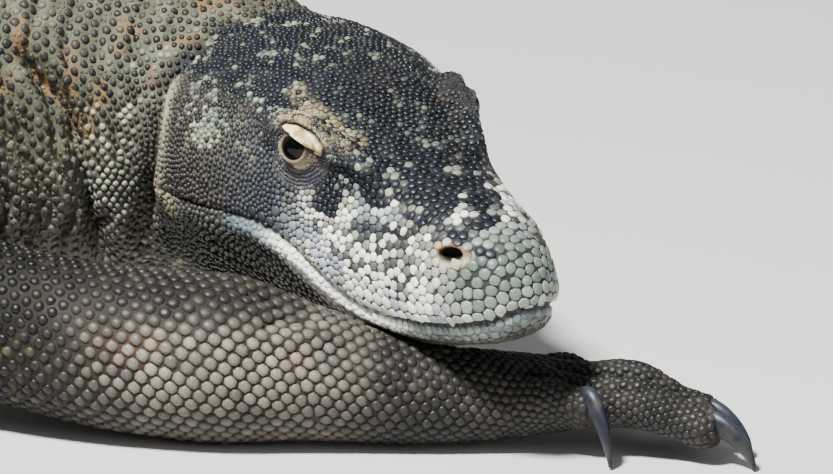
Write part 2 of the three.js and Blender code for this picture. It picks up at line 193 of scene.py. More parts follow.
def closed(rings):
    """Points and faces of a closed tube laid on rings, with a point at the middle of each end."""
    count, sides = rings.shape[:2]
    points = np.vstack([rings.reshape(-1, 3), rings[0].mean(0), rings[-1].mean(0)])
    k = np.arange(sides)
    after = (k + 1) % sides
    faces = ring_faces(count, sides)
    faces += np.stack([after, k, np.full(sides, len(points) - 2)], 1).tolist()
    last = (count - 1) * sides
    faces += np.stack([last + k, last + after, np.full(sides, len(points) - 1)], 1).tolist()
    return points, faces


def join(parts):
    points, faces = [], []
    for part_points, part_faces in parts:
        offset = sum(len(p) for p in points)
        points.append(part_points)
        faces += [[offset + v for v in face] for face in part_faces]
    return np.vstack(points), faces


def new_object(name, points, faces):
    mesh = bpy.data.meshes.new(name)
    mesh.from_pydata((np.asarray(points) * MM).tolist(), [], faces)
    piece = bpy.data.objects.new(name, mesh)
    bpy.context.scene.collection.objects.link(piece)
    return piece


def points_of(mesh):
    flat = np.empty(len(mesh.vertices) * 3, np.float32)
    mesh.vertices.foreach_get("co", flat)
    return flat.reshape(-1, 3).astype(float) / MM


def set_points(mesh, points):
    mesh.vertices.foreach_set("co", (points * MM).astype(np.float32).ravel())
    mesh.update()


def normals_of(mesh):
    flat = np.empty(len(mesh.vertices) * 3, np.float32)
    mesh.vertex_normals.foreach_get("vector", flat)
    return flat.reshape(-1, 3).astype(float)


def knuckle_frame(stations, outward):
    """Turns a digit's forward, outward and up measures into places beside the knuckles of a limb."""
    before, knuckles = np.array(stations[-2][:3], float), np.array(stations[-1][:3], float)
    ahead = unit((knuckles - before) * (1, 1, 0))
    side = np.cross((0, 0, 1), ahead) * outward
    return lambda forward, out, up: knuckles + ahead * forward + side * out + np.array([0, 0, up])


def digits_of(limb):
    """The measures of a limb's five digits, and the frame that turns them into places."""
    digits = HAND_DIGITS if limb.startswith("arm") else FOOT_DIGITS
    return digits, knuckle_frame(LIMBS[limb], 1 if limb.endswith("_l") else -1)


def digit_path(to_place, digit):
    root, bend, end, tip, radius = digit
    places = [to_place(*measures) for measures in (root, bend, end)]
    return [(*place, size, size) for place, size in zip(places, (radius + 1, radius, radius - 1.8))]


# The head is laid clear of the forearm while the skin is made, so that the two don't grow together, and is
# then lowered. The lift fades out along the neck.
HEAD_LIFT = 10
LIFT_FROM, LIFT_TO = 235, 330


def lifted(points, share=1):
    rise = HEAD_LIFT * share * smooth(points[..., 0], LIFT_FROM, LIFT_TO)
    return points + rise[..., None] * np.array([0, 0, 1.0])


def ball(at, half, sides=24):
    polar = np.linspace(0, math.pi, 14)[1:-1]
    turn = np.linspace(0, 2 * math.pi, sides, endpoint=False)
    ring = np.stack([np.outer(np.sin(polar), np.cos(turn)), np.outer(np.sin(polar), np.sin(turn)),
                     np.outer(np.cos(polar), np.ones(sides))], -1)
    return ring[:, ::-1] * np.array(half) + np.array(at, float)


head_parts = [closed(lifted(from_head(head_rings(np.linspace(0, 10, 61), 96))[:, ::-1]))]
for side in (-1, 1):
    brow = oval_rings(np.array(BROW) * (1, side, 1, 1, 1), np.linspace(0, 4, 25), 24)
    head_parts.append(closed(lifted(from_head(brow))))
spine_rings = lifted(oval_rings(SPINE, np.linspace(0.4, 20, 197), 64))
neck_part = closed(spine_rings[:50])
spine_part = closed(spine_rings)
# A cuff of hide swells round the root of each claw.
CUFF_AHEAD, CUFF_SWELL = 3, 0.4
limb_parts, arm_part = [], []
digit_paths = {}
for limb, stations in LIMBS.items():
    part = [closed(oval_rings(stations, np.linspace(0, 8, 65), 36))]
    digits, to_place = digits_of(limb)
    for i, digit in enumerate(digits):
        path = digit_path(to_place, digit)
        digit_paths[f"{limb}_{i + 1}"] = path
        part.append(closed(oval_rings(path, np.linspace(0, 2, 13), 20)))
        tip = oval_rings(path, np.array([2.0]), 8).mean(1)[0]
        part.append(closed(ball(tip, (path[2][3] - COAT_DEPTH,) * 3, 16)))
        toward_claw = unit((to_place(*digit[3], 0) - tip) * (1, 1, 0.35))
        part.append(closed(ball(tip + toward_claw * CUFF_AHEAD, (path[2][3] + CUFF_SWELL,) * 3, 16)))
    limb_parts += part
    if limb == "arm_r":
        arm_part = part


# ---------------------------------------------------------------------------------------------------------
# The skin. One closed sheet over the whole animal: the lofts are grown together, smoothed where they meet,
# thinned out on the trunk, legs and tail, and made finer on the head, neck, forearm and hand.

SKIN_VOXEL = 4.0
THINNED_TO = 0.33
FRONT_X, FRONT_Y = 262, 110


def evaluated(piece):
    """The piece's mesh with its modifiers applied, as a mesh of its own."""
    made = bpy.data.meshes.new_from_object(piece.evaluated_get(bpy.context.evaluated_depsgraph_get()))
    piece.modifiers.clear()
    old, piece.data = piece.data, made
    bpy.data.meshes.remove(old)
    return made


def relaxed(mesh, points, rounds, pull=0.5, push=-0.52, share=1.0):
    """Evens a mesh out, pushing back after each pull so that thin parts keep their size."""
    ends = np.empty(len(mesh.edges) * 2, np.int32)
    mesh.edges.foreach_get("vertices", ends)
    a, b = ends.reshape(-1, 2).T
    count = np.bincount(a, minlength=len(points)) + np.bincount(b, minlength=len(points))
    for step in range(rounds):
        for amount in (pull, push):
            sums = [np.bincount(a, points[b, k], len(points)) + np.bincount(b, points[a, k], len(points))
                    for k in range(3)]
            total = np.stack(sums, 1)
            change = total / np.maximum(count, 1)[:, None] - points
            points = points + amount * change * (share if np.isscalar(share) else share[:, None])
    return points


skin = new_object("skin", *join(head_parts + [spine_part] + limb_parts))
remesh = skin.modifiers.new("grow together", "REMESH")
remesh.mode = "VOXEL"
remesh.voxel_size = SKIN_VOXEL * MM
evaluated(skin)
points = points_of(skin.data)
# The joins of the limbs and neck are eased more than the digits and the tail.
trunk_like = smooth(points[:, 2], 18, 34) * (1 - smooth(points[:, 0], 330, 345))
trunk_like = trunk_like * smooth(points[:, 0], -620, -560)
points = relaxed(skin.data, points, 6)
points = relaxed(skin.data, points, 14, push=-0.2, share=trunk_like)
set_points(skin.data, points)


def refine(mesh, inside, cuts):
    """Splits the faces whose middles lie inside a region."""
    bm = bmesh.new()
    bm.from_mesh(mesh)
    middles = np.array([face.calc_center_median() for face in bm.faces]) / MM
    chosen = inside(middles)
    edges = {edge for face, take in zip(bm.faces, chosen) if take for edge in face.edges}
    bmesh.ops.subdivide_edges(bm, edges=list(edges), cuts=cuts, use_grid_fill=True)
    bm.to_mesh(mesh)
    bm.free()


# Where the lips part and the deep folds run. The two sides of the head are alike, so all but the neck's fold
# are given in the head's own frame by their distance from its middle. The mouth's line is x and z.
MOUTH_LINE = np.array([
    (-12, 0), (8, 3), (20, 4.5), (34, 7), (48, 8.5), (66, 9), (80, 7), (90, 3), (98, -2), (106, -7),
    (115, -11.5), (125, -14), (140, -13.8), (157, -11), (176, -6), (190, -1), (198, 4.5), (210, 5)])
EAR_CREASE = [(-13, 25, 56), (-13, 40, 49), (-13, 50, 38), (-10, 55, 28), (-8, 58, 18), (-9, 57.5, 6),
              (-13, 57, -5), (-19, 57, -20), (-25, 55, -38)]
JAW_RIM = [(-6, 47, 42), (-3, 53, 37), (3, 57, 29), (6, 59, 20), (5, 60, 9), (0, 59, 1)]
NECK_FOLD = [(279, -34, 142), (287, -33, 131), (301, -36, 111), (306, -37, 90), (308, -34, 75),
             (311, -26, 55), (316, -20, 42)]


def mouth_offset(local):
    """How far a point lies above the line of the lips."""
    slope = np.gradient(MOUTH_LINE[:, 1], MOUTH_LINE[:, 0])
    rise = local[:, 2] - np.interp(local[:, 0], MOUTH_LINE[:, 0], MOUTH_LINE[:, 1])
    return rise / np.sqrt(1 + np.interp(local[:, 0], MOUTH_LINE[:, 0], slope) ** 2)


def from_path(points, path):
    """The distance of each point from a chain of straight lengths."""
    path = np.array(path, float)
    best = np.full(len(points), 1e9)
    for a, b in zip(path[:-1], path[1:]):
        along = np.clip((points - a) @ (b - a) / ((b - a) @ (b - a)), 0, 1)
        best = np.minimum(best, np.linalg.norm(points - a - along[:, None] * (b - a), axis=1))
    return best


def mirrored(local):
    """Places in the head's frame, with both its sides laid on the left one."""
    return np.stack([local[:, 0], np.abs(local[:, 1]), local[:, 2]], 1)


def front(points):
    return (points[:, 0] > FRONT_X) & (points[:, 1] < FRONT_Y)


def folded(points):
    """Near the lips and the deep folds, where the skin is finest."""
    local = to_head(points)
    beside = (np.abs(local[:, 1]) < 78) & (local[:, 0] > -40) & (local[:, 2] > -66) & (points[:, 2] > 44)
    lips = (np.abs(mouth_offset(local)) < 4) & (local[:, 0] > -10)
    creases = np.minimum(from_path(mirrored(local), EAR_CREASE), from_path(points, NECK_FOLD)) < 6
    return beside & (lips | creases)


# The coarse part is thinned.
group = skin.vertex_groups.new(name="thinned")
group.add(np.nonzero(~front(points))[0].tolist(), 1.0, "REPLACE")
thin = skin.modifiers.new("thin", "DECIMATE")
thin.vertex_group = "thinned"
thin.ratio = THINNED_TO
evaluated(skin)
skin.vertex_groups.clear()
refine(skin.data, front, 1)
refine(skin.data, folded, 1)
points = relaxed(skin.data, points_of(skin.data), 2)


def solid_of(parts, share=0):
    solid_points, solid_faces = join(parts)
    return BVHTree.FromPolygons(lifted(solid_points, share).tolist(), solid_faces)


# The head is lowered on to the forearm, and whatever of it would enter the arm is pressed up against it.
REST_GAP = 0.8
arm_solid = solid_of(arm_part)
head_solid = solid_of(head_parts + [neck_part])
pressed = np.zeros(len(points))
for index in np.nonzero(points[:, 0] > LIFT_FROM)[0].tolist():
    place = Vector(points[index])
    if head_solid.find_nearest(place)[3] < arm_solid.find_nearest(place)[3]:
        points[index] = lifted(points[index], -1)
        touch, outward, _, distance = arm_solid.find_nearest(Vector(points[index]))
        gap = (Vector(points[index]) - touch).dot(outward)
        if distance < 12 and gap < REST_GAP:
            points[index] = np.array(Vector(points[index]) + outward * (REST_GAP - gap))
            pressed[index] = 1
points = relaxed(skin.data, points, 5, push=-0.3, share=pressed)
set_points(skin.data, points)

# From here on the head is where it lies.
head_solid, spine_solid = solid_of(head_parts, -1), solid_of([spine_part], -1)
limb_solid = solid_of(limb_parts)


def distances(solid, points):
    return np.array([solid.find_nearest(Vector(place))[3] for place in points])


def shares(points):
    """How far each place belongs to the limbs, and whether it belongs to the head rather than to a limb."""
    to_head_solid, to_limb = distances(head_solid, points), distances(limb_solid, points)
    to_body = np.minimum(to_head_solid, distances(spine_solid, points))
    return smooth(to_body - to_limb, -4, 5), to_head_solid < to_limb


# ---------------------------------------------------------------------------------------------------------
# The folds and swellings of the head, neck and limbs, pressed into the skin. The two sides of the head are
# alike, so they are made in the head's own frame with its distance from the middle. Depths are millimetres.

HEAD_SIDE = 80
LIP_PARTING, FOLD_BEHIND_LIPS, UPPER_LIP_SWELL, LOWER_LIP_SWELL = 2.2, 1.8, 0.9, 2.1
JAW_MUSCLE, RIM_SWELL, EAR_CREASE_DEPTH, EAR_DIP = 3.6, 1.8, 5.2, 3.0
EYE_HOLLOW, NOSTRIL_MOUND, BROW_DIP, BROW_RIDGE, FAR_BROW_DROP = 1.8, 1.6, 2.0, 1.0, 3.4
THROAT_FOLDS, THROAT_FOLD_PITCH = 0.9, 5.2
NECK_FOLD_DEPTH, WRINKLES, WRINKLE_PITCH, FINE_WRINKLES, FINE_WRINKLE_PITCH = 10, 2.9, 14.5, 1.7, 8.7
KNUCKLE_SWELL, CLEFT_DEPTH = 1.6, 3.2


def wave(along, pitch, sharpness=1):
    """A wave from 0 to 1; the sharper it is, the narrower its crests."""
    return (0.5 + 0.5 * np.cos(along * 2 * math.pi / pitch)) ** sharpness


def sculpted(points, normals):
    local = to_head(points)
    either = mirrored(local)
    x, y, z = either.T
    on_head = smooth(x, -26, -12) * (y < HEAD_SIDE) * (z > -62) * (z < 80)
    push = np.zeros(len(points))
    # The parted lips, the fold behind them, and the swell of each lip.
    offset = mouth_offset(local)
    depth = LIP_PARTING * smooth(x, 84, 100) + FOLD_BEHIND_LIPS * smooth(x, -6, 20) * (1 - smooth(x, 84, 100))
    push -= on_head * depth * bell(offset, 1.2)
    push += on_head * smooth(x, 70, 110) * UPPER_LIP_SWELL * bell(offset - 4, 4)
    fuller = LOWER_LIP_SWELL - 0.9 * smooth(x, 150, 180)
    push += on_head * smooth(x, 50, 72) * fuller * bell(offset + 4.6, 3)
    # The jaw muscle, its rim, and the crease in front of the neck.
    push += on_head * JAW_MUSCLE * bell(x - 30, 27) * bell(z - 27, 20) * smooth(y, 38, 50)
    push += RIM_SWELL * bell(from_path(either, JAW_RIM), 3.2)
    crease = from_path(either, EAR_CREASE)
    push -= EAR_CREASE_DEPTH * bell(crease, 3.6) * (z > -45)
    push -= EAR_DIP * bell(from_path(either, [(-10, 56, 30), (-9, 58, 10)]), 3)
    push += 1.3 * bell(crease - 9, 4) * (x < -14) * (z > -45)
    # A hollow ahead of the eye, the mounds of the nostrils, and a shallow dip between the brows.
    push -= on_head * EYE_HOLLOW * bell(x - 122, 13) * bell(z - 20, 9) * smooth(y, 22, 32)
    push += on_head * NOSTRIL_MOUND * bell(x - 170, 10) * bell(z - 26, 8) * smooth(y, 12, 20)
    push -= on_head * BROW_DIP * bell(x - 96, 26) * bell(y, 12) * (z > 20)
    push += on_head * BROW_RIDGE * bell(from_path(either, [(100, 33, 46), (135, 27, 41), (165, 21, 35)]), 4)
    # The brow of the left eye stands lower than the right one's.
    push -= FAR_BROW_DROP * bell(from_path(local, [(66, 42, 50), (90, 42, 48), (108, 34, 40)]), 9)
    # Shallow folds of the throat, below the jaw.
    throat = smooth(x, -40, -20) * (1 - smooth(x, 55, 80)) * smooth(-offset, 8, 16) * (y < HEAD_SIDE)
    push -= throat * THROAT_FOLDS * wave(z + 0.12 * x + 1.2 * np.sin(x / 11), THROAT_FOLD_PITCH)
    # The deep fold down the right side of the neck, and the finer ones on either side of it.
    fold = from_path(points, NECK_FOLD)
    push -= NECK_FOLD_DEPTH * bell(fold, 3.4)
    push += 1.8 * bell(fold - 11, 6) * (x < -14)
    on_neck = smooth(points[:, 0], 200, 250) * (1 - smooth(x, -34, -20)) * smooth(points[:, 2], 35, 60)
    across, height = points[:, 1], points[:, 2]
    along = points[:, 0] + 0.10 * height + 4 * np.sin(height / 17) + 2.5 * np.sin(height / 7 + 1)
    lower = 1 - 0.5 * smooth(height, 110, 160)
    push -= on_neck * lower * WRINKLES * wave(along, WRINKLE_PITCH, 6) * (across < 20)
    shifted = along + FINE_WRINKLE_PITCH / (2 * math.pi)
    push -= on_neck * lower * FINE_WRINKLES * wave(shifted, FINE_WRINKLE_PITCH, 4) * (across < 60)
    # The digits: a swelling over each knuckle, and a cleft between each two neighbours.
    for limb in LIMBS:
        digits, to_place = digits_of(limb)
        for digit in digits:
            knuckle = to_place(*digit[1]) + (0, 0, 0.7 * digit[4])
            swell = KNUCKLE_SWELL * bell(np.linalg.norm(points - knuckle, axis=1), 8)
            push += swell * smooth(normals[:, 2], -0.2, 0.4)
        for one, other in zip(digits[:-1], digits[1:]):
            cleft = [(to_place(*a) + to_place(*b)) / 2 * (1, 1, 0) for a, b in zip(one[:3], other[:3])]
            furrow = CLEFT_DEPTH * bell(from_path(points * (1, 1, 0), cleft), 2.8)
            push -= furrow * smooth(normals[:, 2], 0, 0.4)
    return points + push[:, None] * normals


points = sculpted(points, normals_of(skin.data))
set_points(skin.data, points)

# ---------------------------------------------------------------------------------------------------------
# The lids and nostrils. Each is a ring of fine skin laid over a pit in the sheet, from its opening out to
# where it runs into the hide. The upper lid is a thick pale fold, and fine wrinkles circle the lower lid.

EYE_RADIUS = 9
RIGHT, LEFT = -1, 1
EYES = {RIGHT: np.array([83.3, -38.1, 44.3]), LEFT: np.array([82.5, 36.5, 43.4])}
EYE_LOOK = unit(np.array([0.46, 0.84, 0.28]))
LID_OPENING = (5.3, 5.4)
UPPER_LID = [(-6.5, 6.2, 0), (-2.5, 6.9, 0), (2.5, 5.9, 0), (7.5, 4.9, 0), (11, 3.2, 0)]
BROW_LINE = [(-19, 16, 0), (-12, 13.6, 0), (-3, 12.2, 0), (8, 10.6, 0), (16, 9, 0), (23, 7.5, 0)]
NOSTRILS = {side: np.array([171.8, 21, 24]) * (1, side, 1) for side in EYES}
NOSTRIL_LONG = unit(np.array([9.3, -4.5, 1.4]))
NOSTRIL_HALF = (5.5, 3.0)
RIM_REACH = 4.2
TURNS = np.linspace(0, 2 * math.pi, 84, endpoint=False)
RAY_START, RAY_LENGTH = 22, 45


def side_axes(outward, forward, side):
    """Forward, up and outward axes on one side of the head: right -1, left 1."""
    w = unit(np.array(outward, float))
    u = unit(np.array(forward, float) - np.dot(forward, w) * w)
    v = np.cross(u, w)
    v *= np.sign(v[2])
    return np.array([u, v, w]) * (1, side, 1)


EYE_AXES = {side: side_axes(EYE_LOOK, (1, 0, 0), side) for side in EYES}
NOSTRIL_AXES = {side: side_axes((0.62, 0.72, 0.32), NOSTRIL_LONG, side) for side in EYES}


def laid_out(centre, axes, across, up, out):
    """Places beside an eye or a nostril, from how far forward, up and outward they lie."""
    return centre + across[..., None] * axes[0] + up[..., None] * axes[1] + out[..., None] * axes[2]


def heights(surface, centre, axes, across, up):
    """How far out the surface lies, along the third axis, under each place in the plane of the first two."""
    flat = laid_out(centre, axes, across, up, 0 * up)
    found = np.zeros(across.size)
    for i, start in enumerate(flat.reshape(-1, 3)):
        hit = surface.ray_cast(Vector(start + axes[2] * RAY_START), Vector(-axes[2]), RAY_LENGTH)[0]
        found[i] = (np.array(hit) - start) @ axes[2] if hit else 0
    return found.reshape(across.shape)


def hashed(cells, seed):
    """A number from 0 to 1 for each cell of space, always the same for one seed."""
    x, y, z = cells[..., 0], cells[..., 1], cells[..., 2]
    mixed = (x * 73856093) ^ (y * 19349663) ^ (z * 83492791) ^ (seed * 2654435761)
    mixed = (mixed ^ (mixed >> 13)) * 1274126177 & 0xFFFFFFFF
    return ((mixed ^ (mixed >> 16)) & 0xFFFFFF) / 0xFFFFFF


def cloud(points, size, seed):
    """Soft noise from 0 to 1, with patches of the given size."""
    at = points / size + 100.5
    cell = np.floor(at).astype(np.int64)
    share = at - cell
    share = share * share * (3 - 2 * share)
    total = np.zeros(len(points))
    for corner in range(8):
        step = np.array([corner & 1, corner >> 1 & 1, corner >> 2 & 1])
        weight = np.prod(np.where(step, share, 1 - share), axis=1)
        total += weight * hashed(cell + step, seed)
    return total


def lid_half(flat):
    """Half the thickness of the upper lid's fold, which swells toward the front."""
    return 1.5 + 1.3 * smooth(flat[:, 0], -6, 8)


def lid(surface, side):
    """The lids of one eye. Rings run from just inside the opening out to the hide."""
    centre, axes = EYES[side], EYE_AXES[side]
    c, s = np.cos(TURNS), np.sin(TURNS)
    edge = 1 / np.hypot(c / LID_OPENING[0], s / LID_OPENING[1])
    slant = np.maximum(0.1 * c + 0.995 * s, 1e-3)
    edge = (edge ** -6 + (4.0 / slant) ** -6) ** (-1 / 6)
    outer = 16.5 - 3.0 * np.maximum(s, 0)
    share = np.concatenate([[-0.06, -0.02], np.linspace(0, 1, 33) ** 1.15])[:, None]
    reach = edge + share * (outer - edge)
    across, up = reach * c, reach * s
    on_ball = np.sqrt(np.maximum(EYE_RADIUS ** 2 - reach ** 2, 9))
    hide = heights(surface, centre, axes, across, up)
    height = on_ball + 0.5 + (hide - on_ball - 0.5) * smooth(share, 0.1, 0.95)
    height += np.where(share < 0, share * 30, 0)
    height += 0.9 * bell(reach - edge - 1.0, 0.8) * (share > 0)
    low = smooth(-s + 0.35 * -c, -0.35, 0.25) * smooth(share, 0.16, 0.3) * (1 - smooth(share, 0.8, 1))
    height += 0.34 * low * np.cos((reach + 0.4 * np.sin(3 * TURNS)) * 2 * math.pi / 1.75)
    flat = np.stack([across.ravel(), up.ravel(), np.zeros(across.size)], 1)
    fold = (from_path(flat, UPPER_LID) / lid_half(flat)).reshape(across.shape)
    swell = 2.9 if side == RIGHT else 0.6
    rough = 0.5 * cloud(flat + 50, 1.7, 31).reshape(across.shape) - 0.25
    height += (share > 0) * (swell + rough) * np.sqrt(np.maximum(1 - fold ** 2, 0))
    height -= 1.4 * bell((fold - 1.3) * 2.6, 0.8) * (up > 4) * smooth(share, 0.1, 0.2)
    height -= 0.9 * smooth(share, 0.93, 1)
    faces = ring_faces(len(share), len(TURNS), side == RIGHT)
    return laid_out(centre, axes, across, up, height), faces, outer


def nostril(surface, side):
    """The rim and the inside of one nostril. Rings run from the bottom of the hole out to the hide."""
    centre, axes = NOSTRILS[side], NOSTRIL_AXES[side]
    c, s = np.cos(TURNS[::3]), np.sin(TURNS[::3])
    within = np.array([0.05, 0.35, 0.62, 0.82, 0.94, 1, 1, 1, 1, 1, 1, 1])[:, None]
    beyond = np.array([0, 0, 0, 0, 0, 0, 0.5, 1.1, 1.9, 2.9, 4.2, 5.2])[:, None]
    lift = np.array([-6, -5.8, -5, -3.4, -1.5, -0.2, 0.55, 0.8, 0.7, 0.4, 0.15, -0.5])[:, None]
    edge = 1 / np.hypot(c / NOSTRIL_HALF[0], s / NOSTRIL_HALF[1])
    reach = edge * within + beyond
    across, up = reach * c, reach * s
    height = heights(surface, centre, axes, across, up) + lift
    faces = ring_faces(len(within), len(c), side == RIGHT)
    return laid_out(centre, axes, across, up, height), faces, edge + RIM_REACH


def bvh_of(points, mesh):
    return BVHTree.FromPolygons(points.tolist(), [tuple(face.vertices) for face in mesh.polygons])


local = to_head(points)
head_surface = bvh_of(local, skin.data)
patches = []
for side in EYES:
    for make, centre, axes, sink in ((lid, EYES[side], EYE_AXES[side], 7),
                                     (nostril, NOSTRILS[side], NOSTRIL_AXES[side], 9)):
        ring_points, ring_list, outer = make(head_surface, side)
        patches.append((from_head(ring_points.reshape(-1, 3)), ring_list))
        offset = (local - centre) @ axes.T
        turn = np.arctan2(offset[:, 1], offset[:, 0])
        round_turn = np.linspace(0, 2 * math.pi, len(outer) + 1)
        limit = np.interp(turn % (2 * math.pi), round_turn, np.append(outer, outer[0]))
        reach = np.hypot(offset[:, 0], offset[:, 1]) / limit
        near = (offset[:, 2] > -20) & (offset[:, 2] < 25)
        local -= (near * sink * (1 - smooth(reach, 0.66, 0.97)))[:, None] * axes[2]
points = from_head(local)
points[:, 2] = np.maximum(points[:, 2], 0)

sheet = (points, [list(face.vertices) for face in skin.data.polygons])
bpy.data.objects.remove(skin)
skin = new_object("skin", *join([sheet] + patches))
skin.data.shade_smooth()
points = points_of(skin.data)
skin_surface = bvh_of(points, skin.data)

# ---------------------------------------------------------------------------------------------------------
# The markings. One function gives the colour of the hide at any place, for the scales and for the soft skin
# between them. Colours are named by where they show, as seen in daylight.


def shade(red, green, blue):
    """A colour as seen, from 0 to 255, as the linear light that Blender mixes."""
    return (np.array([red, green, blue]) / 255) ** 2.2


def mix(low, high, share):
    share = np.asarray(share)[..., None]
    return low * (1 - share) + high * share


def markings(points, is_scale, of_face=False):
    """The colour of the hide at each place. Scales and the skin between them take different ones."""
    rng = np.random.default_rng(11)
    local = to_head(points)
    either = mirrored(local)
    x, y, z = either.T
    offset = mouth_offset(local)
    big, mid, small = cloud(points, 34, 1), cloud(points, 13, 2), cloud(points, 5.5, 3)
    fine = cloud(points, 2.6, 4)
    chance = rng.random(len(points))
    on_limb, near_head = shares(points)
    near_head = near_head | of_face
    # The body: dark beads in olive skin with tan patches.
    if is_scale:
        colour = mix(shade(50, 49, 46), shade(78, 76, 68), 0.6 * big + 0.4 * chance)
        colour = mix(colour, shade(112, 110, 92), 0.6 * smooth(mid, 0.62, 0.85))
    else:
        colour = mix(shade(72, 70, 56), shade(92, 86, 66), big)
        colour = mix(colour, shade(120, 98, 72), 0.7 * smooth(mid, 0.60, 0.8))
    # Faint bands on the tail.
    on_tail = 1 - smooth(points[:, 0], -620, -520)
    band = smooth(np.sin(points[:, 0] / 27 + points[:, 1] / 60 + 1.5 * big), 0.2, 0.8)
    colour = mix(colour, colour * 0.55, on_tail * band)
    # The neck, with mint and cream beads toward the jaw. It is painted paler below, as painted light.
    on_neck = smooth(points[:, 0], 215, 260)
    lower = 1 - smooth(points[:, 2], 78, 108)
    if is_scale:
        neck = mix(shade(34, 34, 35), shade(66, 64, 59), 0.5 * mid + 0.5 * chance)
        neck = mix(neck, shade(104, 104, 88), 0.8 * smooth(small + 0.3 * (chance - 0.5), 0.66, 0.8))
        neck = mix(neck, shade(112, 112, 102), 0.6 * lower)
        pale = smooth(0.5 * mid + 0.35 * small + 0.4 * chance, 0.6, 0.8)
        pale = pale * smooth(x, -38, -28) * smooth(64 - z, 0, 25)
        minty = mix(shade(150, 164, 146), shade(192, 192, 166), 0.5 * small + 0.5 * chance)
        neck = mix(neck, minty, 0.85 * pale)
    else:
        neck = mix(shade(96, 94, 74), shade(70, 76, 62), 0.5 * big + 0.5 * fine)
        neck = mix(neck, shade(134, 104, 72), 0.75 * smooth(cloud(points * (1.3, 1.3, 0.4), 9, 6), 0.58, 0.8))
        neck = mix(neck, shade(112, 118, 98), 0.6 * smooth(small, 0.62, 0.8))
        neck = mix(neck, shade(118, 114, 98), 0.6 * lower)
    colour = mix(colour, neck, on_neck)
    # The limbs: horn-grey beads in dusty tan skin. The side of the right forearm is painted palest, as
    # painted sunlight, fading to painted shade toward its top and its underside.
    painted_sunlight = smooth(points[:, 0], 292, 336) * (1 - smooth(points[:, 0], 400, 440)) * (points[:, 1] < 0)
    painted_sunlight = painted_sunlight * (1 - 0.9 * smooth(points[:, 2], 46, 62))
    painted_sunlight = painted_sunlight * (0.35 + 0.65 * smooth(points[:, 2], 14, 36))
    if is_scale:
        bead = mix(shade(24, 25, 26), shade(54, 53, 50), 0.5 * mid + 0.5 * chance)
        bead = mix(bead, mix(shade(78, 77, 74), shade(142, 133, 116), 0.4 * small + 0.6 * chance), painted_sunlight)
    else:
        bead = mix(shade(24, 22, 20), shade(50, 43, 36), mid)
        bead = mix(bead, mix(shade(30, 25, 21), shade(76, 58, 42), mid), painted_sunlight)
    # Light and shade are painted on the right forearm alone: its shaded beads are painted darker than the
    # other limbs', which take a plainer tone near the body's.
    painted_lighting_zone = smooth(points[:, 0], 170, 240) * (points[:, 1] < 0)
    bead = mix(bead, shade(68, 66, 58), 0.6 * (1 - painted_lighting_zone))
    # The elbow end of the right forearm is painted much darker, as painted shade, with a few tan patches in
    # it.
    painted_elbow_shade = (1 - smooth(points[:, 0], 272, 318)) * smooth(points[:, 0], 215, 250) * (points[:, 1] < 0)
    bead = bead * (1 - 0.72 * painted_elbow_shade[:, None])
    # The top of the right forearm is painted darker still, as painted shade.
    bead = bead * (1 - 0.35 * (smooth(points[:, 2], 50, 66) * painted_lighting_zone)[:, None])
    bead = mix(bead, shade(96, 92, 66), 0.45 * painted_elbow_shade * smooth(fine, 0.7, 0.85))
    colour = mix(colour, bead, on_limb)
    # The underside is paler.
    beneath = (1 - smooth(points[:, 2], 4, 22)) * (1 - on_neck) * (1 - painted_sunlight)
    colour = mix(colour, colour * 1.25 + 0.02, beneath)
    # The head: blue-black crown with pale flecks, grey-brown cheek.
    on_head = smooth(x, -24, -15) * near_head * (y < HEAD_SIDE) * (z < 82)
    crown = mix(shade(17, 20, 26), shade(40, 46, 53), 0.4 * small + 0.6 * chance)
    # The crown is painted darker toward its far, left side, as painted shade.
    crown = crown * (1 - 0.35 * smooth(local[:, 1], -16, 6)[:, None])
    cheek = mix(shade(36, 36, 37), shade(74, 71, 67), 0.4 * mid + 0.6 * chance)
    cheek = mix(cheek, shade(58, 64, 74), 0.8 * smooth(x, 38, 62) * smooth(52 - z, 0, 10))
    head = mix(crown, cheek, smooth(y, 36, 46) * (1 - smooth(z, 44, 54)))
    scattered = 0.34 * small + 0.30 * fine + 0.22 * chance + 0.14 * mid
    sparse = smooth(local[:, 1], -22, -4) * smooth(x, 40, 70)
    flecked = (1 - 0.62 * sparse) * (0.15 + 0.8 * small)
    flecked = flecked * smooth(scattered - 0.07 * sparse, 0.59, 0.67) * smooth(z, 24, 44)
    temple = bell(x - 34, 20) * bell(z - 42, 10)
    flecked = np.maximum(flecked, smooth(0.6 * mid + 0.7 * temple + 0.5 * chance, 1.0, 1.15) * 0.9)
    fleck = mix(shade(118, 142, 134), shade(172, 178, 146), smooth(0.6 * mid + 0.4 * chance, 0.3, 0.7))
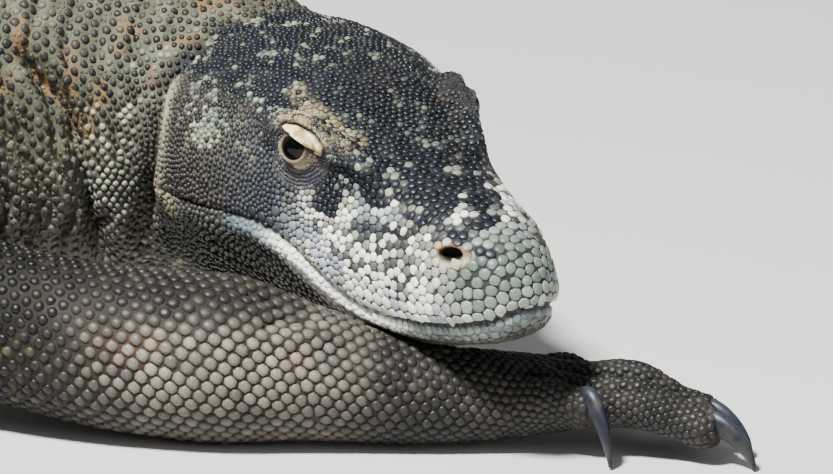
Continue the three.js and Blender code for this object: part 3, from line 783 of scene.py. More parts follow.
    # The snout: cream below, mottled into the dark above, blue-grey and green at the tip.
    cream = mix(shade(255, 253, 240), shade(206, 208, 196), 0.4 * small + 0.6 * chance)
    cream = mix(cream, shade(152, 164, 178), 0.75 * smooth(mid + 0.5 * (chance - 0.5), 0.52, 0.72))
    cream = mix(cream, shade(176, 184, 148), 0.6 * smooth(small + 0.5 * (chance - 0.5), 0.6, 0.8))
    tip = smooth(x, 160, 182) * smooth(offset, -2, 5)
    tipped = mix(shade(60, 72, 80), shade(138, 156, 134), 0.3 * small + 0.7 * chance)
    cream = mix(cream, tipped, 0.92 * tip * (1 - 0.45 * smooth(-offset, -9, -4) * (chance > 0.5)))
    edge = 25 + 9 * smooth(x, 118, 150) - 6 * smooth(x, 174, 186) + 16 * (mid - 0.5) + 10 * (small - 0.5)
    snout = smooth(x, 74, 108) * (1 - smooth(z + 5 * (chance - 0.5), edge - 4, edge + 3))
    specked = smooth(0.4 * fine + 0.3 * small + 0.3 * chance, 0.52, 0.58) * (1 - 0.5 * smooth(x, 145, 165))
    snout = snout * (1 - 0.85 * specked * smooth(offset, 9, 16))
    spilled = smooth(0.5 * small + 0.3 * chance + 0.2 * mid, 0.58, 0.64)
    spilled = spilled * bell(z - edge, 12) * smooth(x, 80, 110)
    snout = np.maximum(snout, 0.9 * spilled)
    blotch = bell(x - 141, 15) * bell(z - 21, 8) * (0.35 + smooth(0.5 * fine + 0.5 * chance, 0.3, 0.5))
    snout = snout * (1 - np.clip(blotch, 0, 0.94) * smooth(offset, 12, 18))
    if is_scale:
        head = mix(head, fleck, 0.9 * flecked)
        head = mix(head, cream, snout)
    else:
        net = mix(shade(34, 36, 39), shade(88, 83, 71), smooth(y, 36, 48) * (1 - smooth(z, 46, 56)))
        # The skin of the face's far, left side is painted dark, as painted shade.
        net = mix(net, shade(36, 37, 39), np.maximum(smooth(x, 60, 90), local[:, 1] > 0))
        head = mix(net, mix(shade(78, 76, 72), shade(50, 52, 52), tip), snout * 0.8)
        head = mix(head, fleck, 0.5 * flecked)
    # The lower lip is a pale band; where it dulls to blue-grey and darkens under the chin, the colour is
    # painted shade. The throat is grey.
    below = 1 - smooth(offset, -1, 0.5)
    lip = mix(shade(252, 253, 242), shade(112, 126, 130), 1 - smooth(x, 66, 90))
    lip = mix(lip, shade(170, 166, 142), smooth(-offset, 10, 17))
    lip = mix(lip, mix(shade(96, 108, 112), shade(150, 160, 150), chance), smooth(x, 128, 160))
    # Painted shade under the chin.
    chin = mix(shade(42, 44, 40), shade(68, 68, 58), chance)
    lip = mix(lip, chin, smooth(-offset, 3.5, 8) * smooth(x, 90, 128))
    throat = mix(shade(56, 57, 55), shade(84, 84, 80), 0.5 * mid + 0.5 * chance)
    if not is_scale:
        throat = mix(throat, shade(64, 58, 48), 0.9)
        lip = mix(lip, shade(104, 108, 104), 0.6 * smooth(x, 124, 150))
    depth = 5 + 11 * smooth(x, 50, 110)
    throat = mix(throat, lip, (1 - smooth(-offset, depth - 2, depth + 4)) * smooth(x, 46, 60))
    throat = mix(throat, lip, smooth(x, 96, 120))
    head = mix(head, throat, below * smooth(x, 0, 14))
    dark_side = (1 - smooth(x, 8, 20)) * (1 - smooth(z, -8, 0))
    head = mix(head, throat, dark_side)
    # A cream rim behind the jaw, and ochre folds below it.
    rim = bell(from_path(either, JAW_RIM), 3.6)
    head = mix(head, shade(172, 170, 142), 0.85 * rim)
    ochre = bell(x - 6, 10) * bell(z + 2, 6)
    head = mix(head, shade(186, 178, 140), 0.75 * ochre)
    # Round the eye: a cream upper lid, a lavender-grey lower lid with cream spots, white flecks below. The
    # far, left eye keeps little of the grey and almost none of the cream lid and pale brow: its side is
    # painted dark, as painted shade.
    for side, eye_at in EYES.items():
        right_only = side == RIGHT
        eye = (local - eye_at) @ EYE_AXES[side].T
        flat = eye * (1, 1, 0)
        reach = np.hypot(eye[:, 0], eye[:, 1])
        near = (eye[:, 2] > -6) & (eye[:, 2] < 22) & (reach < 24)
        lower = smooth(-eye[:, 1] - 0.3 * eye[:, 0], -5, 1)
        grey = mix(shade(44, 44, 50), shade(84, 82, 86), fine)
        grey_share = near * (1 - smooth(reach, 15, 18)) * smooth(9 - eye[:, 1], -2, 3)
        head = mix(head, grey, grey_share * (1 if right_only else 0.3))
        head = mix(head, shade(128, 112, 92), near * bell(reach - 5.9, 0.8) * lower)
        spots = near * bell(reach - 8.2, 1.5) * smooth(small, 0.38, 0.5) * lower
        head = mix(head, shade(196, 186, 150), 0.9 * spots)
        fold = from_path(flat, UPPER_LID) / lid_half(flat)
        band = near * smooth(eye[:, 1], 3, 6) * bell(from_path(flat, UPPER_LID) - 5.0, 1.5)
        band = band * smooth(0.5 * chance + 0.5 * fine, 0.38, 0.56) * (1 if right_only else 0.03)
        head = mix(head, mix(shade(206, 198, 158), shade(146, 116, 90), small), 0.85 * band)
        crest = bell(from_path(flat, BROW_LINE), 2.2) * (np.abs(eye[:, 2]) < 24) * (1 if right_only else 0.03)
        crest = crest * smooth(0.5 * small + 0.3 * fine + 0.3 * chance, 0.44, 0.6)
        head = mix(head, mix(shade(204, 196, 146), shade(130, 108, 84), mid), 0.8 * crest)
        # A dark line in the groove over the upper lid, and a dark front corner of the eye, are painted shade.
        head = mix(head, shade(30, 27, 27), 0.9 * near * bell((fold - 1.32) * 2.6, 0.9))
        pale = mix(shade(230, 218, 160), shade(178, 146, 104), smooth(0.5 * fine + 0.5 * small, 0.45, 0.75))
        head = mix(head, pale, near * (1 - smooth(fold, 0.9, 1.06)) * (1 if right_only else 0.02))
        corner = bell(np.hypot(eye[:, 0] - 9, eye[:, 1] + 1), 4)
        head = mix(head, shade(62, 56, 54), 0.6 * near * corner * (fold > 1))
    # The nostrils are painted dark inside, as painted shade in the hole, with a warm rim.
    for side, hole_at in NOSTRILS.items():
        hole = (local - hole_at) @ NOSTRIL_AXES[side].T
        reach = np.hypot(hole[:, 0] / NOSTRIL_HALF[0], hole[:, 1] / NOSTRIL_HALF[1])
        near = np.abs(hole[:, 2]) < 14
        warm = (0.65 if side == RIGHT else 0.1) * near * bell(reach - 1.2, 0.28)
        rim = bell(reach - 1.5, 0.4) * (1 if side == RIGHT else 0.1)
        head = mix(head, shade(188, 190, 150), near * rim * smooth(-hole[:, 1], -1, 1.5))
        head = mix(head, shade(170, 122, 76), warm * smooth(hole[:, 1], -1, 1.5))
        head = mix(head, shade(26, 20, 16), near * (1 - smooth(reach, 0.8, 1.0)))
    colour = mix(colour, head, on_head)
    # The creases, the deep fold of the neck and the parting of the lips are painted near black, as painted
    # shade.
    crease = from_path(either, EAR_CREASE)
    crease_shade = 0.8 * bell(crease, 3.2) * (z > -45) + 0.97 * bell(from_path(points, NECK_FOLD), 4.2)
    parting_shade = 0.97 * bell(offset, 1.0) * smooth(x, 0, 20) * (y < HEAD_SIDE) * (z > -20)
    colour = mix(colour, shade(30, 26, 23), np.clip(np.maximum(crease_shade, parting_shade * on_head), 0, 1))
    return colour * (0.77 + 0.23 * smooth(colour.mean(axis=1, keepdims=True), 0.3, 0.65))


def paint(mesh, colours):
    layer = mesh.color_attributes.new("hide_tone", "FLOAT_COLOR", "POINT")
    layer.data.foreach_set("color", np.c_[colours, np.ones(len(colours))].astype(np.float32).ravel())


# ---------------------------------------------------------------------------------------------------------
# The finish of the hide: soft skin is matt with fine creases, scales are horny with a dull shine. Dust and
# wear, which both share, is one node group.


def add_node(tree, kind, inputs, **settings):
    """Adds a node. Each of its inputs is given either a value or the socket of another node."""
    node = tree.nodes.new(kind)
    for key, value in settings.items():
        setattr(node, key, value)
    for socket, value in inputs.items():
        if isinstance(value, bpy.types.NodeSocket):
            tree.links.new(value, node.inputs[socket])
        else:
            node.inputs[socket].default_value = value
    return node


def hide_weather():
    """A node group that breaks a plain colour up with mottling, dust and wear, and gives a fine relief."""
    group = bpy.data.node_groups.new("hide weather", "ShaderNodeTree")
    for name, way, kind in (("Tone", "INPUT", "Color"), ("Grain Size", "INPUT", "Float"),
                            ("Dust", "INPUT", "Float"), ("Colour", "OUTPUT", "Color"),
                            ("Grain", "OUTPUT", "Float"), ("Patch", "OUTPUT", "Float")):
        group.interface.new_socket(name, in_out=way, socket_type="NodeSocket" + kind)
    given = group.nodes.new("NodeGroupInput").outputs
    place = group.nodes.new("ShaderNodeTexCoord").outputs["Object"]
    grain = add_node(group, "ShaderNodeTexNoise", {
        "Vector": place, "Scale": given["Grain Size"], "Detail": 3})
    patch = add_node(group, "ShaderNodeTexNoise", {"Vector": place, "Scale": 140, "Detail": 4})
    mottle = add_node(group, "ShaderNodeMapRange", {
        "Value": grain.outputs["Fac"], "From Min": 0.3, "From Max": 0.7, "To Min": 0.72, "To Max": 1.28})
    mottled = add_node(group, "ShaderNodeVectorMath", {0: given["Tone"], "Scale": mottle.outputs["Result"]},
                       operation="SCALE")
    dusty = add_node(group, "ShaderNodeMapRange", {
        "Value": patch.outputs["Fac"], "From Min": 0.5, "From Max": 0.75})
    amount = add_node(group, "ShaderNodeMath", {0: dusty.outputs["Result"], 1: given["Dust"]},
                      operation="MULTIPLY")
    dust = add_node(group, "ShaderNodeMix", {
        "Factor": amount.outputs["Value"], "A": mottled.outputs["Vector"],
        "B": (*shade(158, 142, 116), 1)}, data_type="RGBA")
    add_node(group, "NodeGroupOutput", {
        "Colour": dust.outputs["Result"], "Grain": grain.outputs["Fac"], "Patch": patch.outputs["Fac"]})
    return group


weather = hide_weather()


def painted(name, wear, constants):
    """A material in the tone painted on its piece. `wear` is the grain size and dust of the hide's wear."""
    material = bpy.data.materials.new(name)
    material.use_nodes = True
    tree = material.node_tree
    shader = tree.nodes["Principled BSDF"]
    worn = add_node(tree, "ShaderNodeAttribute", {}, attribute_name="hide_tone").outputs
    colour = worn["Color"]
    if wear:
        grain_size, dust = wear
        worn = add_node(tree, "ShaderNodeGroup", {"Tone": colour, "Grain Size": grain_size, "Dust": dust},
                        node_tree=weather).outputs
        colour = worn["Colour"]
    tree.links.new(colour, shader.inputs["Base Color"])
    for socket, value in constants.items():
        shader.inputs[socket].default_value = value
    return material, worn


def hide_material(name, wear, roughness, relief, relief_depth, gloss):
    """A hide finish. Roughness runs between two values with the patches of wear."""
    material, worn = painted(name, wear, {"Specular IOR Level": gloss})
    tree = material.node_tree
    shader = tree.nodes["Principled BSDF"]
    sheen = add_node(tree, "ShaderNodeMapRange", {
        "Value": worn["Patch"], "From Min": 0.3, "From Max": 0.7,
        "To Min": roughness[0], "To Max": roughness[1]})
    bump = add_node(tree, "ShaderNodeBump", {
        "Height": worn["Grain"], "Strength": relief, "Distance": relief_depth})
    tree.links.new(sheen.outputs["Result"], shader.inputs["Roughness"])
    tree.links.new(bump.outputs["Normal"], shader.inputs["Normal"])
    return material


skin_finish = hide_material("soft skin", (900, 0.05), (0.6, 0.8), 0.5, 0.0006, 0.25)
face_finish = hide_material("face scales", (1400, 0.05), (0.30, 0.5), 0.25, 0.0003, 0.3)
body_finish = hide_material("body scales", (1400, 0.06), (0.36, 0.56), 0.3, 0.0003, 0.24)

paint(skin.data, markings(points, False))
skin.data.materials.append(skin_finish)
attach(skin, "root")
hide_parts(*[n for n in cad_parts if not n.startswith(("claw", "eye"))])

# ---------------------------------------------------------------------------------------------------------
# The eyeballs. Each is a wet dark ball: a black pupil, a dark brown iris with a paler ring, and a brown rim.
# The tones run out from the middle of the pupil, in millimetres.

EYE_TONES = [(0, (5, 5, 6)), (3.6, (5, 5, 6)), (4.0, (34, 24, 17)), (4.7, (24, 17, 13)), (5.4, (18, 14, 12)),
             (6.3, (60, 45, 33)), (7.4, (60, 44, 32)), (9, (40, 28, 22))]
CORNEA_SWELL, CORNEA_WIDTH = 0.5, 4.2
wet, _ = painted("wet eye", None, {
    "Roughness": 0.3, "Specular IOR Level": 0.05, "Coat Weight": 0.25, "Coat Roughness": 0.04})
for name, side in (("eye_r", RIGHT), ("eye_l", LEFT)):
    polar = np.linspace(0.06, 2.2, 40)[:, None]
    turn = np.linspace(0, 2 * math.pi, 48, endpoint=False)[None]
    out, away = EYE_RADIUS * np.cos(polar), EYE_RADIUS * np.sin(polar)
    out = out + CORNEA_SWELL * bell(away, CORNEA_WIDTH) * (polar < 1.5)
    ball_rings = laid_out(EYES[side], EYE_AXES[side], away * np.cos(turn), away * np.sin(turn),
                          out * np.ones_like(turn))
    ball_rings = from_head(ball_rings if side == RIGHT else ball_rings[:, ::-1])
    eyeball = new_object(name, *closed(ball_rings))
    look = (to_head(points_of(eyeball.data)) - EYES[side]) @ EYE_AXES[side].T
    reach = np.hypot(look[:, 0] * 1.06, look[:, 1]) + 4 * (look[:, 2] < 0)
    radii, tones = zip(*EYE_TONES)
    paint(eyeball.data, np.stack([np.interp(reach, radii, channel) for channel in shade(*zip(*tones))], 1))
    eyeball.data.shade_smooth()
    eyeball.data.materials.append(wet)
    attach(eyeball, "root")
    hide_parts(name)

# ---------------------------------------------------------------------------------------------------------
# The claws. Twenty curved blue-grey hooks of horn, deeper than they are wide, painted pale along the crest as
# a painted highlight.

horn, _ = painted("horn", (500, 0.1), {"Roughness": 0.42, "Specular IOR Level": 0.35})
CLAW_HALF = [(3.0, 3.2), (3.8, 5.2), (3.6, 5.3), (2.9, 4.1), (1.9, 2.7), (0.7, 0.8)]
CLAW_TIP_HEIGHT = 0.9
for limb in LIMBS:
    digits, to_place = digits_of(limb)
    for i, digit in enumerate(digits):
        base, tip = to_place(*digit[2]), to_place(*digit[3], 0)
        tip[2] = CLAW_TIP_HEIGHT
        ahead = unit((tip - base) * (1, 1, 0))
        length = np.linalg.norm((tip - base) * (1, 1, 0))
        rise = base[2] - tip[2]
        middle = [base + ahead * length * t + (0, 0, h - base[2]) for t, h in (
            (-0.45, base[2] - 2.5), (0, base[2] + 0.1), (0.3, base[2] + 1.0 + 0.1 * rise),
            (0.62, tip[2] + 0.74 * rise + 2.5), (0.86, tip[2] + 0.42 * rise + 0.8), (1, tip[2]))]
        hook = oval_rings([(*at, *half) for at, half in zip(middle, CLAW_HALF)], np.linspace(0, 5, 31), 18, 0)
        name = f"claw_{'hand' if limb.startswith('arm') else 'foot'}{limb[3:]}_{i + 1}"
        claw = new_object(name, *closed(hook))
        claw_points = points_of(claw.data)
        claw_points[:, 2] = np.maximum(claw_points[:, 2], 0)
        set_points(claw.data, claw_points)
        reach = (claw_points - base) @ ahead / length
        upward = normals_of(claw.data)[:, 2]
        under = smooth(upward, 0.1, -0.6)
        # The upward-facing crest is painted paler: a painted highlight.
        tones = mix(shade(26, 29, 36), shade(46, 52, 60), smooth(upward, 0.3, 1))
        tones = mix(tones, shade(74, 68, 62), 0.6 * (1 - smooth(reach, -0.1, 0.3)))
        paint(claw.data, mix(tones, shade(46, 44, 46), 0.7 * under))
        claw.data.shade_smooth()
        claw.data.materials.append(horn)
        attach(claw, "root")
        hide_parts(name)

# ---------------------------------------------------------------------------------------------------------
# Where the scales grow. They stand in staggered rows round every length of the body. Those of the head are
# finer and packed, with neat rows of larger plates along the lips and fine granules round the eyes.
# A seed is: place (3), pitch, how full its cell is, how square its outline is, rise, lean, part, space kept.

PLACE, PITCH, FULL, SQUARE, RISE, LEAN, PART, KEEP = slice(0, 3), 3, 4, 5, 6, 7, 8, 9
HEAD_PART, SPINE_PART = 0, 1
# No scale grows nearer than this to the floor and to the rim of the jaw.
FLOOR_GAP, RIM_HALF = 1.6, 2.6
parts = {HEAD_PART: None, SPINE_PART: SPINE}


def on_skin(places, outward, most):
    """The nearest places on the skin, and which of them lie close and face the same way."""
    found = [skin_surface.find_nearest(Vector(place)) for place in places]
    hits = np.array([hit[0] for hit in found])
    facing = (np.array([hit[1] for hit in found]) * outward).sum(1)
    return hits, (facing > 0.3) & (np.array([hit[3] for hit in found]) < most) & (hits[:, 2] > FLOOR_GAP)


def rows(rings, spacing, across, twist=0.0):
    """Staggered places on rings of points. `across` gives the pitch along a ring at each of its points."""
    middle = rings.mean(1)
    run = np.append(0, np.cumsum(np.linalg.norm(np.diff(middle, axis=0), axis=1)))
    count = np.append(0, np.cumsum(np.diff(run) / (spacing[1:] + spacing[:-1]) * 2))
    places, outward, kept = [], [], 0
    for row, at in enumerate(np.interp(np.arange(0.5, count[-1]), count, np.arange(len(rings)))):
        low = min(int(at), len(rings) - 2)
        ring = rings[low] + (at - low) * (rings[low + 1] - rings[low])
        pitch = across[low] if np.ndim(across) == 2 else np.full(len(ring), across[low])
        loop = np.vstack([ring, ring[:1]])
        steps = np.linalg.norm(np.diff(loop, axis=0), axis=1) / pitch
        total = np.append(0, np.cumsum(steps))
        if not 0.88 < total[-1] / max(kept, 1) < 1.13:
            kept = max(round(total[-1]), 3)
        turns = (np.arange(kept) + 0.5 * (row % 2) + twist * row) % kept / kept * total[-1]
        round_ring = np.stack([np.interp(turns, total, loop[:, k]) for k in range(3)], 1)
        places.append(round_ring)
        outward.append(unit(round_ring - ring.mean(0)))
    return np.vstack(places), np.vstack(outward)


def seeds_of(places, pitch, full, square, rise, lean, part, keep=0.66):
    columns = [np.broadcast_to(value, len(places)) for value in (pitch, full, square, rise, lean, part, keep)]
    return np.column_stack([places] + columns)


def taper(at, knots):
    return np.interp(at, [k for k, _ in knots], [v for _, v in knots])


def head_pitch(local):
    """The pitch of the scales over the head, in millimetres."""
    x, y, z = local[..., 0], np.abs(local[..., 1]), local[..., 2]
    offset = mouth_offset(local.reshape(-1, 3)).reshape(x.shape)
    pitch = 2.7 + 0.3 * bell(x - 60, 40) * (z > 40)
    pitch = pitch + (2.25 - pitch) * smooth(y, 34, 44) * (1 - smooth(z, 42, 50)) * (1 - smooth(x, 66, 84))
    pitch = pitch + (3.7 - pitch) * smooth(x, 98, 132)
    pitch = pitch + (4.5 - pitch) * smooth(x, 152, 174)
    return pitch + (2.9 - pitch) * (1 - smooth(offset, -5, -1)) * (1 - 0.5 * smooth(x, 150, 180))


seeds = []
# The plates of the lips: two rows above the parting and one below, laid from the middle of the snout back.
# Each row is its height above the parting, pitch, how far back it runs, rise, and where its first plate lies.
LIP_ROWS = [(3.1, 5.0, 62, 0.65, 0.5), (8.1, 5.3, 74, 0.8, 1), (-2.7, 3.6, 98, 0.5, 0.5)]
local_skin = to_head(points)
head_skin = bvh_of(local_skin, skin.data)
for above, pitch, last, rise, shift in LIP_ROWS:
    for side in EYES:
        line = []
        for x in np.concatenate([np.linspace(199, 190, 40), np.linspace(189.8, last, 400)]):
            z = np.interp(x, MOUTH_LINE[:, 0], MOUTH_LINE[:, 1]) + above * (1 + 0.12 * smooth(x, 110, 96))
            hit = head_skin.ray_cast(Vector((x, side * 90, z)), Vector((0, -side, 0)), 90)[0]
            if hit:
                line.append(np.array(hit))
        run = np.append(0, np.cumsum(np.linalg.norm(np.diff(line, axis=0), axis=1)))
        start = abs(line[0][1])
        steps = np.arange(pitch * shift, run[-1] + start, pitch) - start
        steps = steps[steps > 0]
        row_places = from_head(np.stack([np.interp(steps, run, values) for values in np.array(line).T], 1))
        row_places = row_places[np.cumprod(shares(row_places)[1]) > 0]
        seeds.append(seeds_of(row_places, pitch, 1.0, 18, rise, 0, HEAD_PART, 0.7))
# Granules in rings round each eye, and plates round each nostril.
for side in EYES:
    axes = EYE_AXES[side]
    for ring, radius in enumerate(np.arange(9.3, 17.5, 1.45)):
        turn = np.arange(0, 2 * math.pi, 1.5 / radius) + 0.37 * ring
        flat = np.stack([radius * np.cos(turn), radius * np.sin(turn), 0 * turn], 1)
        clear = from_path(flat, UPPER_LID) > 3.6
        places = from_head(EYES[side] + flat[clear] @ axes + axes[2] * 6)
        hits, good = on_skin(places, axes[2] @ HEAD_AXES, 12)
        seeds.append(seeds_of(hits[good], 1.55, 0.92, 6, 0.42, 0, HEAD_PART, 0.7))
    axes = NOSTRIL_AXES[side]
    turn = np.linspace(0, 2 * math.pi, 10, endpoint=False)
    long, high = NOSTRIL_HALF[0] + 3.5, NOSTRIL_HALF[1] + 3.4
    flat = np.stack([long * np.cos(turn), high * np.sin(turn), 0 * turn], 1)
    hits, good = on_skin(from_head(NOSTRILS[side] + flat @ axes), axes[2] @ HEAD_AXES, 8)
    seeds.append(seeds_of(hits[good], 4.2, 0.98, 10, 0.8, 0, HEAD_PART, 0.7))
pinned = sum(len(some) for some in seeds)
# The rest of the head.
head_at = np.linspace(0.1, 9.9, 240)
head_loops = head_rings(head_at, 160, 0)
pitch = head_pitch(head_loops)
spacing = 0.866 * pitch.mean(1)
places, outward = rows(from_head(head_loops), spacing, pitch ** 2 * 0.866 / spacing[:, None])
hits, good = on_skin(places, outward, 12)
hits = hits[good]
local = to_head(hits)
near_parting = np.abs(mouth_offset(local)) < np.where(local[:, 0] > 62, 1.6, 1.3) * (local[:, 0] > 0)
rim = from_path(mirrored(local), JAW_RIM) < RIM_HALF
hits = hits[~near_parting & ~rim & (local[:, 0] > -15)]
local = to_head(hits)
on_snout = smooth(local[:, 0], 92, 116)
chin = 1 - smooth(mouth_offset(local), -3, 0)
full = 0.97 + 0.03 * on_snout
square = 8 + 10 * on_snout
rise = 0.95 - 0.1 * on_snout - 0.35 * chin * smooth(local[:, 0], 40, 60) * (1 - smooth(local[:, 0], 135, 165))
seeds.append(seeds_of(hits, head_pitch(local), full, square, rise, 0, HEAD_PART, 0.72))
# The neck, the trunk and the tail.
spine_at = np.linspace(1.2, 19.9, 900)
loops = oval_rings(SPINE, spine_at, 160, 0)
PITCHES = [(0, 4.4), (2, 4.9), (3, 5.5), (4, 6.2), (6, 8.4), (10, 8.8), (12, 8.0), (14, 7.0), (17, 5.6),
           (20, 3.6)]
LIMB_PITCHES = [(0, 6.3), (5, 5.7), (6.6, 4.5), (7.3, 3.6), (8, 3.2)]
COLLAR_PITCH = 3.3
pitch = taper(spine_at, PITCHES)
places, outward = rows(loops, 0.866 * pitch, pitch)
hits, good = on_skin(places, outward, 14)
hits = hits[good]
local = to_head(hits)
_, near_head = shares(hits)
ahead_of_nape = (local[:, 0] > -17) & near_head
hits = hits[~ahead_of_nape]
level = np.linalg.norm(hits[:, None, :2] - loops.mean(1)[None, ::6, :2], axis=2)
at = spine_at[np.argmin(level, axis=1) * 6]
local = to_head(hits)
pitch = taper(at, PITCHES)
collar = smooth(local[:, 0], -48, -22) * (np.abs(local[:, 1]) < 80)
pitch = pitch + (COLLAR_PITCH - pitch) * collar
neck = 1 - smooth(at, 3.0, 4.6)
full = 0.96 - (0.04 + 0.24 * np.random.default_rng(8).random(len(hits)) ** 2) * neck + 0.04 * collar
rise = taper(at, [(0, 1.1), (4, 1.2), (6, 1.6), (12, 1.5), (20, 0.7)])
seeds.append(seeds_of(hits, pitch, full, 6 - neck, rise, 0.2, SPINE_PART))
# The limbs: beads in rows along each limb, finer toward the hand, and crosswise plates on the digits.
for limb, stations in LIMBS.items():
    part = len(parts)
    parts[part] = stations
    at = np.linspace(0.8, 8, 240)
    pitch = taper(at, LIMB_PITCHES)
    places, outward = rows(oval_rings(stations, at, 120, 0), 0.5 * pitch, 1.6 * pitch, twist=0.06)
    hits, good = on_skin(places, outward, 9)
    hits = hits[good]
    middles = oval_rings(stations, at[::6], 8, 0).mean(1)
    pitch = pitch[np.argmin(np.linalg.norm(hits[:, None] - middles[None], axis=2), 1) * 6]
    full = 1.0 - 0.2 * (1 - smooth(hits[:, 0], 300, 345)) * (limb == "arm_r")
    seeds.append(seeds_of(hits, pitch, full, 8, 0.22 * pitch, 0.5, part))
    for i in range(5):
        part = len(parts)
        path = digit_paths[f"{limb}_{i + 1}"]
        parts[part] = path
        at = np.linspace(0.3, 2.0, 60)
        spacing, across = np.full(60, 2.4), np.full(60, 4.6)
        places, outward = rows(oval_rings(path, at, 60, 0), spacing, across)
        hits, good = on_skin(places, outward, 6)
        seeds.append(seeds_of(hits[good], 3.6, 1.0, 12, 0.6, 0.6, part, 0.6))
seeds = np.vstack(seeds)
free = np.arange(len(seeds)) >= pinned
head_free = free & (seeds[:, PART] == HEAD_PART)
shaken = np.random.default_rng(5).normal(0, 0.2, (len(seeds), 3))
seeds[:, PLACE] += shaken * (seeds[:, PITCH] * (0.25 + 0.75 * head_free) * free)[:, None]


def bare(places):
    """The parting of the lips, the rim of the jaw, the edges and folds of the lids, and the nostrils."""
    local = to_head(places)
    parting = np.abs(mouth_offset(local)) < np.where(local[:, 0] > 62, 1.3, 1.2)
    found = parting & (local[:, 0] > 0) & (local[:, 2] > -25) & (np.abs(local[:, 1]) < 70)
    found |= (from_path(mirrored(local), JAW_RIM) < RIM_HALF) | (places[:, 2] < FLOOR_GAP)
    for side in EYES:
        flat = (local - EYES[side]) @ EYE_AXES[side].T
        near = (flat[:, 2] > -12) & (flat[:, 2] < 25)
        found |= near & (np.hypot(flat[:, 0], flat[:, 1]) < 8.2)
        found |= near & (from_path(flat * (1, 1, 0), UPPER_LID) / lid_half(flat) < 1.3)
        flat = (local - NOSTRILS[side]) @ NOSTRIL_AXES[side].T
        near = (flat[:, 2] > -12) & (flat[:, 2] < 25)
        found |= near & (np.hypot(flat[:, 0] / (NOSTRIL_HALF[0] + 2), flat[:, 1] / (NOSTRIL_HALF[1] + 2)) < 1)
    for limb in LIMBS:
        digits, to_place = digits_of(limb)
        for digit in digits:
            root, tip = to_place(*digit[2]), to_place(*digit[3], 0) * (1, 1, 0)
            found |= from_path(places, [root, root + 0.5 * (tip - root)]) < 5
    return found


spare = points[~bare(points)]
wanted = ~bare(seeds[:, PLACE]) | ~free
seeds, free = seeds[wanted], free[wanted]


def tree_of(places):
    tree = kdtree.KDTree(len(places))
    for i, place in enumerate(places):
        tree.insert(place, i)
    tree.balance()
    return tree


def uncrowded(places, clear):
    """Which places have no earlier place nearer than their own clear distance."""
    tree = tree_of(places)
    taken = np.zeros(len(places), bool)
    for i, place in enumerate(places):
        taken[i] = not any(taken[j] for _, j, _ in tree.find_range(place, clear[i]))
    return taken


def filled(seeds, free, keep):
    """Drops seeds that crowd an earlier one, and fills gaps with places on the skin like the nearest seed."""
    tree = tree_of(seeds[:, PLACE])
    fillers = seeds[[tree.find(place)[1] for place in spare]]
    fillers[:, PLACE] = spare
    fillers[:, KEEP] = keep
    everything = np.vstack([seeds, fillers])
    taken = uncrowded(everything[:, PLACE], everything[:, PITCH] * everything[:, KEEP])
    everything[:, KEEP] = np.minimum(everything[:, KEEP], 0.4)
    return everything[taken], np.append(free, np.ones(len(fillers), bool))[taken]


def neighbours(places, count):
    tree = tree_of(places)
    return np.array([[j for _, j, _ in tree.find_n(place, count + 1)][1:] for place in places])


def spread(seeds, free, rounds):
    """Lets the scales of the head and collar push each other apart until they are evenly packed."""
    local = to_head(seeds[:, PLACE])
    moving = np.nonzero(free & ((seeds[:, PART] == HEAD_PART) | (local[:, 0] > -45)) & (seeds[:, 0] > 300))[0]
    for step in range(rounds):
        places = seeds[:, PLACE]
        if step % 3 == 0:
            close = neighbours(places, 7)[moving]
        apart = places[moving][:, None] - places[close]
        distance = np.linalg.norm(apart, axis=2)
        wanted = 1.04 * (seeds[moving, PITCH][:, None] + seeds[close, PITCH]) / 2
        push = np.clip(wanted - distance, 0, None) / np.maximum(distance, 0.1)
        moved = places[moving] + 0.33 * (apart * push[..., None]).sum(1)
        seeds[moving, PLACE] = [skin_surface.find_nearest(Vector(place))[0] for place in moved]
    return seeds


seeds, free = filled(seeds, free, 0.93)
seeds = spread(seeds, free, 7)
seeds, free = filled(seeds, free, 0.8)
seeds = spread(seeds, free, 4)

# Fine granules fill the skin between the beads of the neck.
GRANULE = 2.1
on_neck = spare[(spare[:, 0] > 240) & (spare[:, 0] < 380) & (spare[:, 2] > 20)]
tree = tree_of(seeds[:, PLACE])
nearest = [tree.find(place)[1:] for place in on_neck]
owner = seeds[[index for index, _ in nearest]]
roomy = np.array([distance for _, distance in nearest]) > 0.36 * owner[:, PITCH] + 0.42 * GRANULE
chosen = (owner[:, PART] == SPINE_PART) & (owner[:, PITCH] > 3.9) & roomy
granules = seeds_of(on_neck[chosen], GRANULE, 0.9, 6, 0.5, 0.2, SPINE_PART, 0.8)
granules = granules[uncrowded(granules[:, PLACE], np.full(len(granules), GRANULE * 0.86))]
is_granule = np.append(np.zeros(len(seeds), bool), np.ones(len(granules), bool))
seeds = np.vstack([seeds, granules])

# Each scale is the cell of ground nearer to its own seed than to the others round it, with rounded corners.
normals = np.array([skin_surface.find_nearest(Vector(place))[1] for place in seeds[:, PLACE]])
close = neighbours(seeds[:, PLACE], 9)
apart = seeds[close, PLACE] - seeds[:, None, PLACE]
depth = (apart * normals[:, None]).sum(2, keepdims=True)
length = np.linalg.norm(apart, axis=2, keepdims=True)
apart = unit(apart - depth * normals[:, None]) * length
blocked = (normals[close] * normals[:, None]).sum(2) > 0.1
weight = 1 + seeds[close, PITCH] / seeds[:, None, PITCH]

# ---------------------------------------------------------------------------------------------------------
# The scales themselves. A seed's outline becomes one flat face; a Geometry Nodes tree raises each face into a
# low dome with a shoulder and a crown, and gives it its own patch of the texture map.


